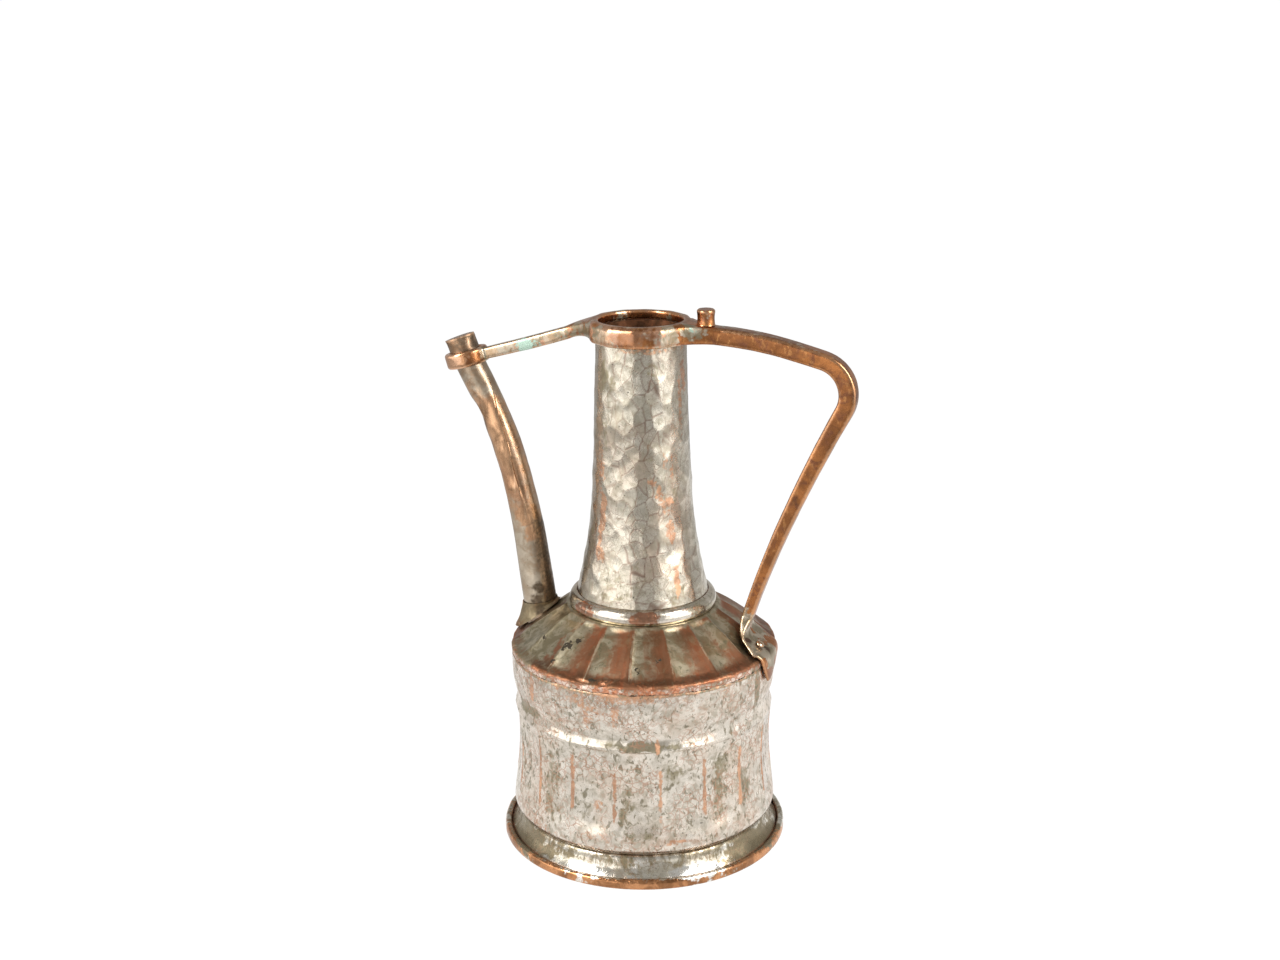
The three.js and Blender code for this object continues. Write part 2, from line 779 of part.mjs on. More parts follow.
function makeBrace() {
  const start = point(-(mouthRadius + collarFlat) / 2, collarMiddle - 0.1);
  const ringEdge = spoutUpperRadius + spoutRingWall / 2;
  const end = directionFrom(point(-spoutRingDistance, spoutRingHeight), spoutRingTilt, ringEdge);
  const rootEnd = point(start.x - braceRootLength, start.y - 4.1);
  const pull = rootEnd.distanceTo(end) * 0.35;
  return bar([
    {
      curve: new THREE.QuadraticBezierCurve(start, point(start.x - braceRootLength * 0.6, start.y - 0.8), rootEnd),
      steps: 6,
      thickness: [braceRootThickness, braceThickness + 0.6],
      width: [handleRootWidth, braceWidth],
      flare: 2,
    },
    {
      curve: new THREE.CubicBezierCurve(
        rootEnd,
        directionFrom(rootEnd, 198, pull),
        directionFrom(end, spoutRingTilt, pull),
        end,
      ),
      steps: 6,
      thickness: [braceThickness + 0.6, braceThickness],
      width: [braceWidth, braceWidth],
    },
  ]);
}

function makeCasting() {
  const throughMouth = turned([
    point(0, mouthHeight - 2 * collarHeight),
    point(mouthRadius, mouthHeight - 2 * collarHeight),
    point(mouthRadius, mouthHeight + collarHeight),
    point(0, mouthHeight + collarHeight),
  ], roundSteps);
  const seatTop = neckTopHeight + fitGap;
  const neckSeat = turned([
    point(0, mouthHeight - 2 * collarHeight),
    ...neckSkin(fitGap, mouthHeight - 2 * collarHeight, seatTop, 2),
    point(0, seatTop),
  ], roundSteps);
  const pinHole = standingPost(pinShankRadius + fitGap);
  const whole = join(collarBlank(), makeHandleBar(), makeBrace(), spoutRingBlank());
  return cut(whole, throughMouth, neckSeat, pinHole, spoutRoom(), rivetHole(rivetShankRadius + fitGap));
}

// Lid pin: waisted stub on a shank riveted through the root of the handle
function standingPost(radius) {
  const post = new THREE.CylinderGeometry(radius, radius, 4 * collarHeight, 16);
  post.rotateX(Math.PI / 2);
  post.translate(pinDistance, 0, mouthHeight);
  return closedSolid(post);
}

function makeLidPin() {
  const seat = mouthHeight + fitGap;
  const tail = mouthHeight - collarHeight + 0.6;
  const pin = turned([
    point(0, tail),
    point(pinShankRadius, tail),
    point(pinShankRadius, seat),
    point(pinRadius * 0.94, seat),
    point(pinRadius * 0.9, seat + pinHeight * 0.3),
    point(pinRadius, seat + pinHeight * 0.75),
    point(pinRadius * 0.86, seat + pinHeight),
    point(0, seat + pinHeight),
  ], 16);
  pin.translate(pinDistance, 0, 0);
  return pin;
}

// Rivet through the leaf and the shoulder, square to the slope
const rivetAngle = Math.asin(rivetSide / rivetDistance);

function squareToSlope(geometry, lift) {
  geometry.translate(0, 0, lift);
  geometry.rotateY(shoulderLean);
  geometry.translate(rivetDistance, 0, shoulderHeightAt(rivetDistance));
  geometry.rotateZ(rivetAngle);
  return geometry;
}

function rivetHole(radius) {
  const hole = new THREE.CylinderGeometry(radius, radius, 6 * leafThickness, 12);
  hole.rotateX(Math.PI / 2);
  return closedSolid(squareToSlope(hole, 0));
}

function makeRivet() {
  const seat = fitGap + leafThickness + fitGap;
  const tail = -shoulderSheet - shoulderFluteDepth - rivetTail;
  const rivet = turned([
    point(0, tail),
    point(rivetShankRadius, tail),
    point(rivetShankRadius, seat),
    point(rivetRadius, seat),
    point(rivetRadius * 0.8, seat + rivetDome * 0.6),
    point(rivetRadius * 0.4, seat + rivetDome * 0.95),
    point(0, seat + rivetDome),
  ], 12);
  return squareToSlope(rivet, 0);
}

// Finishes
const tinned = new THREE.MeshStandardMaterial({ color: 0xb9b3a6, roughness: 0.38, metalness: 0.9 });
const bareCopper = new THREE.MeshStandardMaterial({ color: 0xb0693c, roughness: 0.42, metalness: 0.95 });
const wornShoulder = new THREE.MeshStandardMaterial({ color: 0x8c6f5a, roughness: 0.45, metalness: 0.85 });
const dullSpout = new THREE.MeshStandardMaterial({ color: 0x948470, roughness: 0.45, metalness: 0.85 });
const iron = new THREE.MeshStandardMaterial({ color: 0x4b4642, roughness: 0.7, metalness: 0.8 });

const jug = new THREE.Group();

function add(name, geometry, material) {
  const mesh = new THREE.Mesh(geometry, material);
  mesh.name = name;
  jug.add(mesh);
}

add('foot_ring', makeFoot(), tinned);
add('foot_rim_wire', makeRimWire(), iron);
add('drum', makeDrum(), tinned);
add('bottom_disc', makeBottom(), tinned);
add('shoulder', makeShoulder(), wornShoulder);
add('neck', makeNeck(), tinned);
add('neck_ring', makeNeckRing(), tinned);
add('mouth_and_handle_casting', makeCasting(), bareCopper);
add('spout', makeSpout(), dullSpout);
add('spout_root_collar', makeRootCollar(), dullSpout);
add('lid_pin', makeLidPin(), bareCopper);
add('handle_rivet', makeRivet(), bareCopper);

// The origin is the middle of the base of the whole outline
const outline = new THREE.Box3().setFromObject(jug);
const middle = outline.getCenter(new THREE.Vector3());
jug.position.set(-middle.x, -middle.y, -outline.min.z);
jug.updateMatrixWorld(true);

export default jug;
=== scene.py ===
# A tinned copper ewer: fluted drum and shoulder, hammered neck, bent spout, forged mouth and handle
import math

import bpy
import numpy as np
from mathutils import Matrix, Vector


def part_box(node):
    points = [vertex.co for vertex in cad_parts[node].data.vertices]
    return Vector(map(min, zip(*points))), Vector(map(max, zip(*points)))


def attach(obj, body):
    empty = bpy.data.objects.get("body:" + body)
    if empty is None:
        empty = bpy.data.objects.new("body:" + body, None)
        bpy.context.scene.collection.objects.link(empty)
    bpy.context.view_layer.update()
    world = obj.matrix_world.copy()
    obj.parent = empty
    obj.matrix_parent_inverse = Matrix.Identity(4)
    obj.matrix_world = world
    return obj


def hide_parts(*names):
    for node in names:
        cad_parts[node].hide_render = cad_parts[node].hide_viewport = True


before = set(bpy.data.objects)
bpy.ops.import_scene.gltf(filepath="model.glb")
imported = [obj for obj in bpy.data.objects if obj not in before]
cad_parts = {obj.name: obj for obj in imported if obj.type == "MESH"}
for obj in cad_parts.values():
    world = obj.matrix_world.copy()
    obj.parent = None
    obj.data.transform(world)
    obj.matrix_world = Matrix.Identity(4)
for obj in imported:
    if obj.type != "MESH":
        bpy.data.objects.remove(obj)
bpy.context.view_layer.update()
mm = 0.001  # shapes are worked out in millimetres and stored in metres
print("frame loaded,", len(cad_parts), "pieces")


# Sizes taken from the frame, in millimetres
def nodeBox(node):
    low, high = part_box(node)
    return np.array(low) / mm, np.array(high) / mm


neckLow, neckHigh = nodeBox("neck")
shoulderLow, shoulderHigh = nodeBox("shoulder")
ringLow, ringHigh = nodeBox("neck_ring")
castHigh = nodeBox("mouth_and_handle_casting")[1]
pinLow, pinHigh = nodeBox("lid_pin")
axisX = (neckLow[0] + neckHigh[0]) / 2  # the vessel's own axis, a little off the middle of the box
rimRadius = (shoulderHigh[0] - shoulderLow[0]) / 2
fluteCount = 18


# Repeatable noise
def cornerValue(i, j, k, seed):
    # a number from 0 to 1 for each corner of a lattice, from a hash of its three whole numbers
    mixed = (i * 73856093) ^ (j * 19349663) ^ (k * 83492791) ^ (seed * 40503 + 977)
    mixed = ((mixed ^ (mixed >> 13)) * 1274126177) & 0xFFFFFFFF
    mixed = ((mixed ^ (mixed >> 16)) * 668265263) & 0xFFFFFFFF
    return ((mixed >> 8) & 0xFFFF) / 65535.0


def softNoise(points, size, seed):
    # corner values of a lattice blended by a smooth step along each axis, from -1 to 1
    place = points / size
    cell = np.floor(place).astype(np.int64)
    part = place - cell
    part = part * part * (3 - 2 * part)
    total = 0.0
    for corner in np.ndindex(2, 2, 2):
        near = [part[..., n] if corner[n] else 1 - part[..., n] for n in range(3)]
        lattice = [cell[..., n] + corner[n] for n in range(3)]
        total = total + near[0] * near[1] * near[2] * cornerValue(*lattice, seed)
    return total * 2 - 1


def layeredNoise(points, size, seed, layers=3):
    # soft noise at a size, half that size at half the strength, and so on; three layers add up to 1.75
    return sum(softNoise(points, size / 2**n, seed + 17 * n) / 2**n for n in range(layers)) / 1.75


def rise(value, low, high):
    # smooth step from 0 at low to 1 at high
    share = np.clip((value - low) / (high - low), 0, 1)
    return share * share * (3 - 2 * share)


def bell(value, middle, width):
    # 1 at the middle, falling off as exp(-(distance / width)^2)
    return np.exp(-(((value - middle) / width) ** 2))


def aroundTo(turn, degrees):
    # the angle from a place on the vessel to a direction, from -pi to pi
    return np.mod(turn - math.radians(degrees) + math.pi, 2 * math.pi) - math.pi


def hammerMarks(across, up, girth, look, seed):
    # Each blow leaves a shallow dish on a jittered grid, and the metal lies at the lowest dish near it.
    # across runs from 0 to 1 round the piece, up is in millimetres.
    # Returns the depth, how near a seam is, and a number from 0 to 1 that each dish has to itself.
    wide, tall = look["blow"]
    columns = max(int(round(girth / wide)), 3)
    a, b = across * columns, up / tall
    cellA, cellB = np.floor(a).astype(np.int64), np.floor(b).astype(np.int64)
    lowest = np.full(np.shape(a + b), 1e9)
    second, own = lowest.copy(), 0 * lowest
    for da, db in np.ndindex(3, 3):
        column, row = cellA + da - 1, cellB + db - 1
        pick = [cornerValue(column % columns, row, row * 0 + n, seed) for n in range(5)]
        dx = (a - column - 0.5 - (pick[0] - 0.5) * look["jitter"]) * wide
        dz = (b - row - 0.5 - (pick[1] - 0.5) * look["jitter"]) * tall
        tiltX, tiltZ = (pick[2] - 0.5) * look["tilt"], (pick[3] - 0.5) * look["tilt"]
        dish = dx * dx / (2 * look["roundX"]) + dz * dz / (2 * look["roundZ"])
        dish = dish + tiltX * dx + tiltZ * dz + pick[4] * look["uneven"]
        second = np.minimum(second, np.maximum(lowest, dish))
        own = np.where(dish < lowest, pick[2], own)
        lowest = np.minimum(lowest, dish)
    return lowest, 1 - rise(second - lowest, 0, look["seam"]), own


def dented(points, turn, radius, dents):
    # each dent as degrees round, height, reach, depth: depth times exp(-(way / reach)^2)
    depth = 0.0
    for degrees, height, reach, deep in dents:
        across = aroundTo(turn, degrees) * radius
        depth = depth + deep * np.exp(-(across**2 + (points[..., 2] - height) ** 2) / reach**2)
    return depth


# Lines and paths
def curveThrough(points, spacing):
    # Catmull-Rom through points of any dimension, then evenly spaced along its length
    knots = np.asarray(points, float)
    before = np.vstack([2 * knots[0] - knots[1], knots[:-1]])
    after = np.vstack([knots[1:], 2 * knots[-1] - knots[-2]])
    slope = (after - before) / 2
    t = np.linspace(0, 1, 24, endpoint=False)[:, None, None]
    p, q = knots[:-1], knots[1:]
    m, n = slope[:-1], slope[1:]
    dense = (
        (2 * t**3 - 3 * t**2 + 1) * p + (t**3 - 2 * t**2 + t) * m
        + (3 * t**2 - 2 * t**3) * q + (t**3 - t**2) * n
    )
    dense = np.vstack([np.swapaxes(dense, 0, 1).reshape(-1, knots.shape[1]), knots[-1:]])
    return evenly(dense, spacing)


def evenly(line, spacing):
    # the same line with points the same distance apart
    line = np.asarray(line, float)
    length = np.concatenate([[0], np.cumsum(np.linalg.norm(np.diff(line[:, :3], axis=0), axis=1))])
    count = max(int(round(length[-1] / spacing)), 2)
    wanted = np.linspace(0, length[-1], count + 1)
    return np.stack([np.interp(wanted, length, column) for column in line.T], 1)


def chain(*lines):
    # lines that follow each other, with each shared point kept once
    return np.vstack([lines[0]] + [line[1:] for line in lines[1:]])


def arcLine(centre, radius, start, end, spacing):
    # an arc from start to end degrees in the plane of radius and height
    count = max(int(abs(math.radians(end - start)) * radius / spacing), 3)
    angle = np.radians(np.linspace(start, end, count + 1))
    return np.stack([centre[0] + radius * np.cos(angle), centre[1] + radius * np.sin(angle)], 1)


def bezier(points, spacing):
    # a cubic Bezier curve from its four points, evenly spaced
    t = np.linspace(0, 1, 200)[:, None]
    a, b, c, d = [np.asarray(p, float) for p in points]
    return evenly((1 - t) ** 3 * a + 3 * (1 - t) ** 2 * t * b + 3 * (1 - t) * t * t * c + t**3 * d, spacing)


def stepFrom(start, degrees, length):
    way = math.radians(degrees)
    return np.array([start[0] + length * math.cos(way), start[1] + length * math.sin(way)])


def easedCurve(start, startWay, end, endWay, pulls, spacing):
    # a Bezier curve that leaves its start along one direction and meets its end from another, in degrees
    first, last = pulls
    return bezier([start, stepFrom(start, startWay, first), stepFrom(end, endWay, last), end], spacing)


def tangents(line):
    slope = np.gradient(line, axis=0)
    return slope / np.linalg.norm(slope, axis=1, keepdims=True)


def fromTable(value, table):
    # straight lines between the rows of a table of places and values
    return np.interp(value, *np.array(table, float).T)


# Meshes
def gridFaces(rows, cols, ends):
    # quads between neighbours of a grid that closes round its columns; ends are joined or fan to a pole
    index = np.arange(rows * cols).reshape(rows, cols)
    low = index if ends == "joined" else index[:-1]
    high = np.roll(index, -1, axis=0)[: len(low)]
    quads = np.stack([low, np.roll(low, -1, 1), np.roll(high, -1, 1), high], -1).reshape(-1, 4)
    if ends == "joined":
        return quads, np.zeros((0, 3), int)
    first, last = index[0], index[-1]
    bottom = np.stack([np.roll(first, -1), first, np.full(cols, rows * cols)], -1)
    top = np.stack([last, np.roll(last, -1), np.full(cols, rows * cols + 1)], -1)
    return quads, np.vstack([bottom, top])


def closedMesh(grid, ends="joined"):
    # vertices, quads and triangles of a closed surface given as rows of rings, faces looking out
    rows, cols = grid.shape[:2]
    points = grid.reshape(-1, 3)
    quads, triangles = gridFaces(rows, cols, ends)
    if ends == "poles":
        points = np.vstack([points, grid[0].mean(0), grid[-1].mean(0)])
    corners = np.vstack([quads[:, :3], quads[:, [0, 2, 3]], triangles])
    a, b, c = points[corners[:, 0]], points[corners[:, 1]], points[corners[:, 2]]
    if np.einsum("ij,ij->i", a, np.cross(b, c)).sum() < 0:
        quads, triangles = quads[:, ::-1], triangles[:, ::-1]
    return points, quads, triangles


def makePiece(name, surfaces, sharpAngle=38):
    # one object from closed surfaces in millimetres round the vessel's axis
    points, loops, sizes, offset = [], [], [], 0
    for vertices, quads, triangles in surfaces:
        points.append(vertices)
        loops += [(quads + offset).ravel(), (triangles + offset).ravel()]
        sizes += [np.full(len(quads), 4), np.full(len(triangles), 3)]
        offset += len(vertices)
    points = (np.vstack(points) + [axisX, 0, 0]) * mm
    loops, sizes = np.concatenate(loops), np.concatenate(sizes)
    mesh = bpy.data.meshes.new(name)
    mesh.vertices.add(len(points))
    mesh.vertices.foreach_set("co", points.astype(np.float32).ravel())
    mesh.loops.add(len(loops))
    mesh.loops.foreach_set("vertex_index", loops.astype(np.int32))
    mesh.polygons.add(len(sizes))
    starts = np.concatenate([[0], np.cumsum(sizes)[:-1]])
    mesh.polygons.foreach_set("loop_start", starts.astype(np.int32))
    mesh.update(calc_edges=True)
    mesh.validate()
    piece = bpy.data.objects.new(name, mesh)
    bpy.context.scene.collection.objects.link(piece)
    shade(piece, sharpAngle)
    return piece


def shade(piece, sharpAngle):
    mesh = piece.data
    mesh.polygons.foreach_set("use_smooth", np.ones(len(mesh.polygons), bool))
    mesh.set_sharp_from_angle(angle=math.radians(sharpAngle))


def pointsAndNormals(piece):
    vertices = piece.data.vertices
    points, normals = np.empty(len(vertices) * 3), np.empty(len(vertices) * 3)
    vertices.foreach_get("co", points)
    vertices.foreach_get("normal", normals)
    return points.reshape(-1, 3) / mm, normals.reshape(-1, 3)


def meshEdges(piece):
    edges = np.empty(len(piece.data.edges) * 2, np.int64)
    piece.data.edges.foreach_get("vertices", edges)
    return edges.reshape(-1, 2)


def neighbourMean(values, edges, count):
    # mean of the values at the vertices that share an edge
    a, b = edges[:, 0], edges[:, 1]
    number = np.bincount(a, minlength=count) + np.bincount(b, minlength=count)
    columns = values.reshape(count, -1)
    means = [np.bincount(a, c[b], count) + np.bincount(b, c[a], count) for c in columns.T]
    return (np.stack(means, 1) / np.maximum(number, 1)[:, None]).reshape(values.shape)


def paintOn(piece, **shares):
    # one attribute for each share that a finish reads; a plain number covers the whole piece
    for name, values in shares.items():
        layer = piece.data.attributes.new(name, "FLOAT", "POINT")
        values = np.broadcast_to(values, len(piece.data.vertices))
        layer.data.foreach_set("value", values.astype(np.float32))


def standingOut(piece, spread, reach):
    # how far a vertex stands out of its neighbours, over the square of the spacing, from -1 to 1
    points, normals = pointsAndNormals(piece)
    edges, count = meshEdges(piece), len(points)
    gap = np.linalg.norm(points[edges[:, 0]] - points[edges[:, 1]], axis=1)
    spacing = neighbourMean(np.ones(count), edges, count) * float(np.median(gap))
    lap = neighbourMean(points, edges, count) - points
    bend = -np.einsum("ij,ij->i", lap, normals) / spacing**2 * 2
    for _ in range(spread):
        bend = 0.5 * bend + 0.5 * neighbourMean(bend, edges, count)
    return np.clip(bend / reach, -1, 1)


def turnedAngles(count, start=0.0):
    return math.radians(start) + np.linspace(0, 2 * math.pi, count, endpoint=False)


def ring(radius, height, angles):
    # a line of radius and height turned about the axis
    radius = radius + 0 * angles
    height = np.broadcast_to(height, radius.shape)
    return np.stack([radius * np.cos(angles), radius * np.sin(angles), height], -1)


def sheetShell(line, thickness, angles, lift, innerEvery=3):
    # outside = line turned about the axis, moved along its own normal by lift (rows x columns);
    # inside = outside less the thickness; the two edges of the sheet are rounded
    slope = tangents(line)
    normal = np.stack([slope[:, 1], -slope[:, 0]], 1)
    outer = line[:, None, :] + normal[:, None, :] * lift[..., None]
    inner = outer - normal[:, None, :] * thickness
    rows = np.unique(np.append(np.arange(0, len(line), innerEvery), len(line) - 1))[::-1]
    middle = (outer + inner) / 2
    endA = middle[:1] - slope[None, :1] * thickness * 0.3
    endB = middle[-1:] + slope[None, -1:] * thickness * 0.3
    section = np.concatenate([outer, endB, inner[rows], endA])
    return ring(section[..., 0], section[..., 1], angles)


# Shader sheets
def tone(colour):
    # an sRGB colour as a shader takes it
    channel = np.array(colour) / 255
    return tuple(np.where(channel < 0.04045, channel / 12.92, ((channel + 0.055) / 1.055) ** 2.4)) + (1.0,)


class Link:
    # a socket that can be used in sums
    def __init__(self, sheet, socket):
        self.sheet, self.socket = sheet, socket

    def calculate(self, operation, first, second):
        return self.sheet.node("ShaderNodeMath", {"operation": operation}, {0: first, 1: second})

    def __add__(self, other):
        return self.calculate("ADD", self, other)

    def __sub__(self, other):
        return self.calculate("SUBTRACT", self, other)

    def __rsub__(self, other):
        return self.calculate("SUBTRACT", other, self)

    def __mul__(self, other):
        return self.calculate("MULTIPLY", self, other)

    def __neg__(self):
        return self.calculate("MULTIPLY", self, -1.0)

    __radd__ = __add__


class Sheet:
    # the nodes of a world or a material; colours of three numbers are sRGB from 0 to 255
    def __init__(self, tree):
        self.tree = tree

    def node(self, kind, settings, values, output=0):
        made = self.tree.nodes.new(kind)
        for key, value in settings.items():
            setattr(made, key, value)
        for key, value in values.items():
            self.feed(made.inputs[key], value)
        return Link(self, made.outputs[output]) if made.outputs else made

    def feed(self, socket, value):
        if isinstance(value, Link):
            self.tree.links.new(value.socket, socket)
        elif socket.type == "RGBA" and len(value) == 3:
            socket.default_value = tone(value)
        else:
            socket.default_value = value

    def band(self, value, low, high, start=0.0, end=1.0):
        # smooth step from start at low to end at high
        return self.node(
            "ShaderNodeMapRange", {"interpolation_type": "SMOOTHSTEP"},
            {"Value": value, "From Min": low, "From Max": high, "To Min": start, "To Max": end},
        )

    def cameraSees(self, output="Is Camera Ray"):
        return self.node("ShaderNodeLightPath", {}, {}, output)

    def mixShaders(self, share, first, second):
        return self.node("ShaderNodeMixShader", {}, {0: share, 1: first, 2: second})


class Finish(Sheet):
    # a material and its nodes
    def __init__(self, name):
        self.material = bpy.data.materials.new(name)
        self.material.use_nodes = True
        super().__init__(self.material.node_tree)
        self.place = self.node("ShaderNodeTexCoord", {}, {}, "Object")

    def shift(self, operation, first, second, key=1):
        return self.node("ShaderNodeVectorMath", {"operation": operation}, {0: first, key: second})

    def noise(self, size, detail=3, rough=0.55, twist=0.0, stretch=None, output="Fac"):
        # noise whose blobs measure about size millimetres
        place = self.place
        if stretch:
            place = self.node("ShaderNodeMapping", {}, {"Vector": place, "Scale": stretch})
        values = {"Scale": 0.6 / (size * mm), "Detail": detail, "Roughness": rough, "Distortion": twist}
        return self.node("ShaderNodeTexNoise", {}, {"Vector": place, **values}, output)

    def cells(self, size, warp, feature="DISTANCE_TO_EDGE"):
        # cells about size millimetres across, their sides bent by a noise
        bend = self.shift("SUBTRACT", self.noise(size * 0.8, 2, output="Color"), (0.5, 0.5, 0.5))
        bend = self.shift("SCALE", bend, warp * size * mm, "Scale")
        place = self.shift("ADD", self.place, bend)
        values = {"Vector": place, "Scale": 1 / (size * mm)}
        return self.node("ShaderNodeTexVoronoi", {"feature": feature}, values, "Distance")

    def most(self, first, second):
        return self.node("ShaderNodeMath", {"operation": "MAXIMUM"}, {0: first, 1: second})

    def painted(self, *names):
        return [self.node("ShaderNodeAttribute", {"attribute_name": name}, {}, "Fac") for name in names]

    def blend(self, share, first, second):
        # colour mix
        settings = {"data_type": "RGBA", "clamp_factor": True}
        return self.node("ShaderNodeMix", settings, {0: share, 6: first, 7: second}, 2)

    def relief(self, height, depth, under=None):
        # a bump of depth millimetres
        values = {"Height": height, "Strength": 1.0, "Distance": depth * mm}
        if under is not None:
            values["Normal"] = under
        return self.node("ShaderNodeBump", {}, values, "Normal")

    def surface(self, **values):
        for key, value in values.items():
            self.feed(self.tree.nodes["Principled BSDF"].inputs[key.replace("_", " ")], value)
        return self.material


# Camera where the photograph was taken from
camera = {
    "place": (0.2657, -0.8479, 0.4689),
    "heading": 17.6,  # degrees from +Y towards -X
    "pitch": 16.63,  # degrees below level
    "roll": -0.455,
    "lens": 48.35,
}


def makeCamera():
    data = bpy.data.cameras.new("camera")
    data.sensor_width = 36
    data.lens = camera["lens"]
    data.clip_start, data.clip_end = 0.05, 100
    eye = bpy.data.objects.new("camera", data)
    bpy.context.scene.collection.objects.link(eye)
    turn = Matrix.Rotation(math.radians(camera["heading"]), 4, "Z")
    tip = Matrix.Rotation(math.radians(90 - camera["pitch"]), 4, "X")
    roll = Matrix.Rotation(math.radians(camera["roll"]), 4, "Z")
    eye.matrix_world = Matrix.Translation(camera["place"]) @ turn @ tip @ roll
    bpy.context.scene.camera = eye


# Studio: pale floor, even sky, upright soft boxes
studio = {
    "floorSize": 60.0,
    "floorWhite": 0.93,  # share of plain white in what the camera sees of the floor
    "whiteLevel": 1.06,  # level of the plain white that the camera sees
    "floorNear": 1.02,  # what the metal sees of the floor round the vessel, and far from it
    "floorFar": 0.45,
    "floorMiddle": (0.16, 0.16, 0),  # metres
    "floorReach": (0.25, 0.95),  # metres from that middle between which it fades
    # the upward part of a direction, then the grey there
    "sky": [(0.0, 0.70, 0.695, 0.68), (0.17, 0.47, 0.465, 0.455), (0.9, 0.42, 0.415, 0.405)],
    "behind": (0.2, 0.85),  # from where to where the sky counts as behind the vessel
    "backShade": 0.95,  # share of the sky's light that comes from there
    "lampAim": 0.2,  # metres up the axis, where every box faces
    "boxes": [
        # degrees to the side of the camera, distance, width, bottom, height, light per area
        (-57.0, 0.85, 0.42, 0.38, 0.64, 9.0),
        (57.0, 0.85, 0.42, 0.38, 0.64, 9.5),
        (-60.0, 0.90, 1.80, 0.02, 0.38, 1.2),
        (62.0, 0.90, 0.95, 0.02, 0.38, 1.25),
    ],
}


def makeLamp(name, turn, distance, width, bottom, height, level):
    # an upright sheet of light; its power is pi times its area times the level
    data = bpy.data.lights.new(name, "AREA")
    data.shape = "RECTANGLE"
    data.size, data.size_y = width, height
    data.energy = math.pi * width * height * level
    lamp = bpy.data.objects.new(name, data)
    bpy.context.scene.collection.objects.link(lamp)
    toCamera = math.atan2(camera["place"][1], camera["place"][0])
    angle = toCamera + math.radians(turn)
    spot = Vector((distance * math.cos(angle), distance * math.sin(angle), bottom + height / 2))
    lamp.location = spot
    lamp.rotation_euler = (Vector((0, 0, studio["lampAim"])) - spot).to_track_quat("-Z", "Y").to_euler()
    lamp.visible_camera = False


def makeSky():
    # a ramp of greys by height, a little darker behind the vessel; the camera itself sees white
    world = bpy.data.worlds.new("studio")
    bpy.context.scene.world = world
    world.use_nodes = True
    world.node_tree.nodes.clear()
    sky = Sheet(world.node_tree)
    place = sky.node("ShaderNodeTexCoord", {}, {}, "Generated")
    ramp = sky.node("ShaderNodeValToRGB", {}, {0: sky.node("ShaderNodeSeparateXYZ", {}, {0: place}, "Z")})
    stops = ramp.socket.node.color_ramp.elements
    stops.remove(stops[-1])
    for index, (position, *colour) in enumerate(studio["sky"]):
        stop = stops.new(position) if index else stops[0]
        stop.color = (*colour, 1.0)
    away = -Vector(camera["place"][:2]).normalized()
    dot = {"operation": "DOT_PRODUCT"}
    toBack = sky.node("ShaderNodeVectorMath", dot, {0: place, 1: (away.x, away.y, 0)}, "Value")
    shaded = sky.band(toBack, *studio["behind"], 1.0, studio["backShade"])
    around = sky.node("ShaderNodeBackground", {}, {"Color": ramp, "Strength": shaded})
    white = sky.node("ShaderNodeBackground", {}, {"Color": (1, 1, 1, 1), "Strength": studio["whiteLevel"]})
    sky.node("ShaderNodeOutputWorld", {}, {"Surface": sky.mixShaders(sky.cameraSees(), around, white)})


def makeFloor():
    # the camera sees it nearly white, the metal sees it fade with the distance, and it keeps the shadow
    half = studio["floorSize"] / 2
    mesh = bpy.data.meshes.new("floor")
    corners = [(-half, -half, 0), (half, -half, 0), (half, half, 0), (-half, half, 0)]
    mesh.from_pydata(corners, [], [(0, 1, 2, 3)])
    floor = bpy.data.objects.new("floor", mesh)
    bpy.context.scene.collection.objects.link(floor)
    finish = Finish("pale_floor")
    ends = {0: finish.place, 1: studio["floorMiddle"]}
    away = finish.node("ShaderNodeVectorMath", {"operation": "DISTANCE"}, ends, "Value")
    level = finish.band(away, *studio["floorReach"], studio["floorNear"], studio["floorFar"])
    grey = finish.node("ShaderNodeCombineColor", {}, {0: level, 1: level, 2: level})
    plain = finish.node("ShaderNodeBsdfDiffuse", {}, {"Color": (0.9, 0.9, 0.9, 1)})
    white = finish.node("ShaderNodeEmission", {}, {"Color": (1, 1, 1, 1), "Strength": studio["whiteLevel"]})
    mirrored = finish.node("ShaderNodeEmission", {}, {"Color": grey})
    seen = finish.mixShaders(finish.cameraSees() * studio["floorWhite"], plain, white)
    seen = finish.mixShaders(finish.cameraSees("Is Glossy Ray"), seen, mirrored)
    finish.tree.links.new(seen.socket, finish.tree.nodes["Material Output"].inputs["Surface"])
    mesh.materials.append(finish.material)


bpy.context.scene.view_settings.view_transform = "Standard"
makeCamera()
makeSky()
for number, box in enumerate(studio["boxes"]):
    makeLamp("soft_box_%d" % number, *box)
makeFloor()
print("camera and studio ready")


# Painting on vertices: shares from 0 to 1 that the finishes read
def turnAndReach(points):
    return np.arctan2(points[:, 1], points[:, 0] - axisX), np.hypot(points[:, 0] - axisX, points[:, 1])


def raggedEdge(points, coarse, fine, seed):
    # what is added to the way out from the middle of a patch
    return 0.5 * layeredNoise(points, coarse, seed) + 0.35 * layeredNoise(points, fine, seed + 3, 2)


def wearStainAndLightPatches(points, marks, seed):
    # ragged patches on a turned piece, each as degrees round, height, half width, half height, strength;
    # the strongest one counts. They hold bare copper and stains, and also painted light: a mark below 0
    # makes the tin paler, many such marks are painted highlights, and some dark ones are painted shade
    turn, reach = turnAndReach(points)
    ragged = raggedEdge(points, 5, 1.7, seed)
    total = np.zeros(len(points))
    for degrees, height, wide, tall, strength in marks:
        way = np.hypot(aroundTo(turn, degrees) * reach / wide, (points[:, 2] - height) / tall)
        share = 1 - rise(way + ragged, 0.5, 1.2)
        total = np.where(share * abs(strength) > np.abs(total), strength * share, total)
    return total


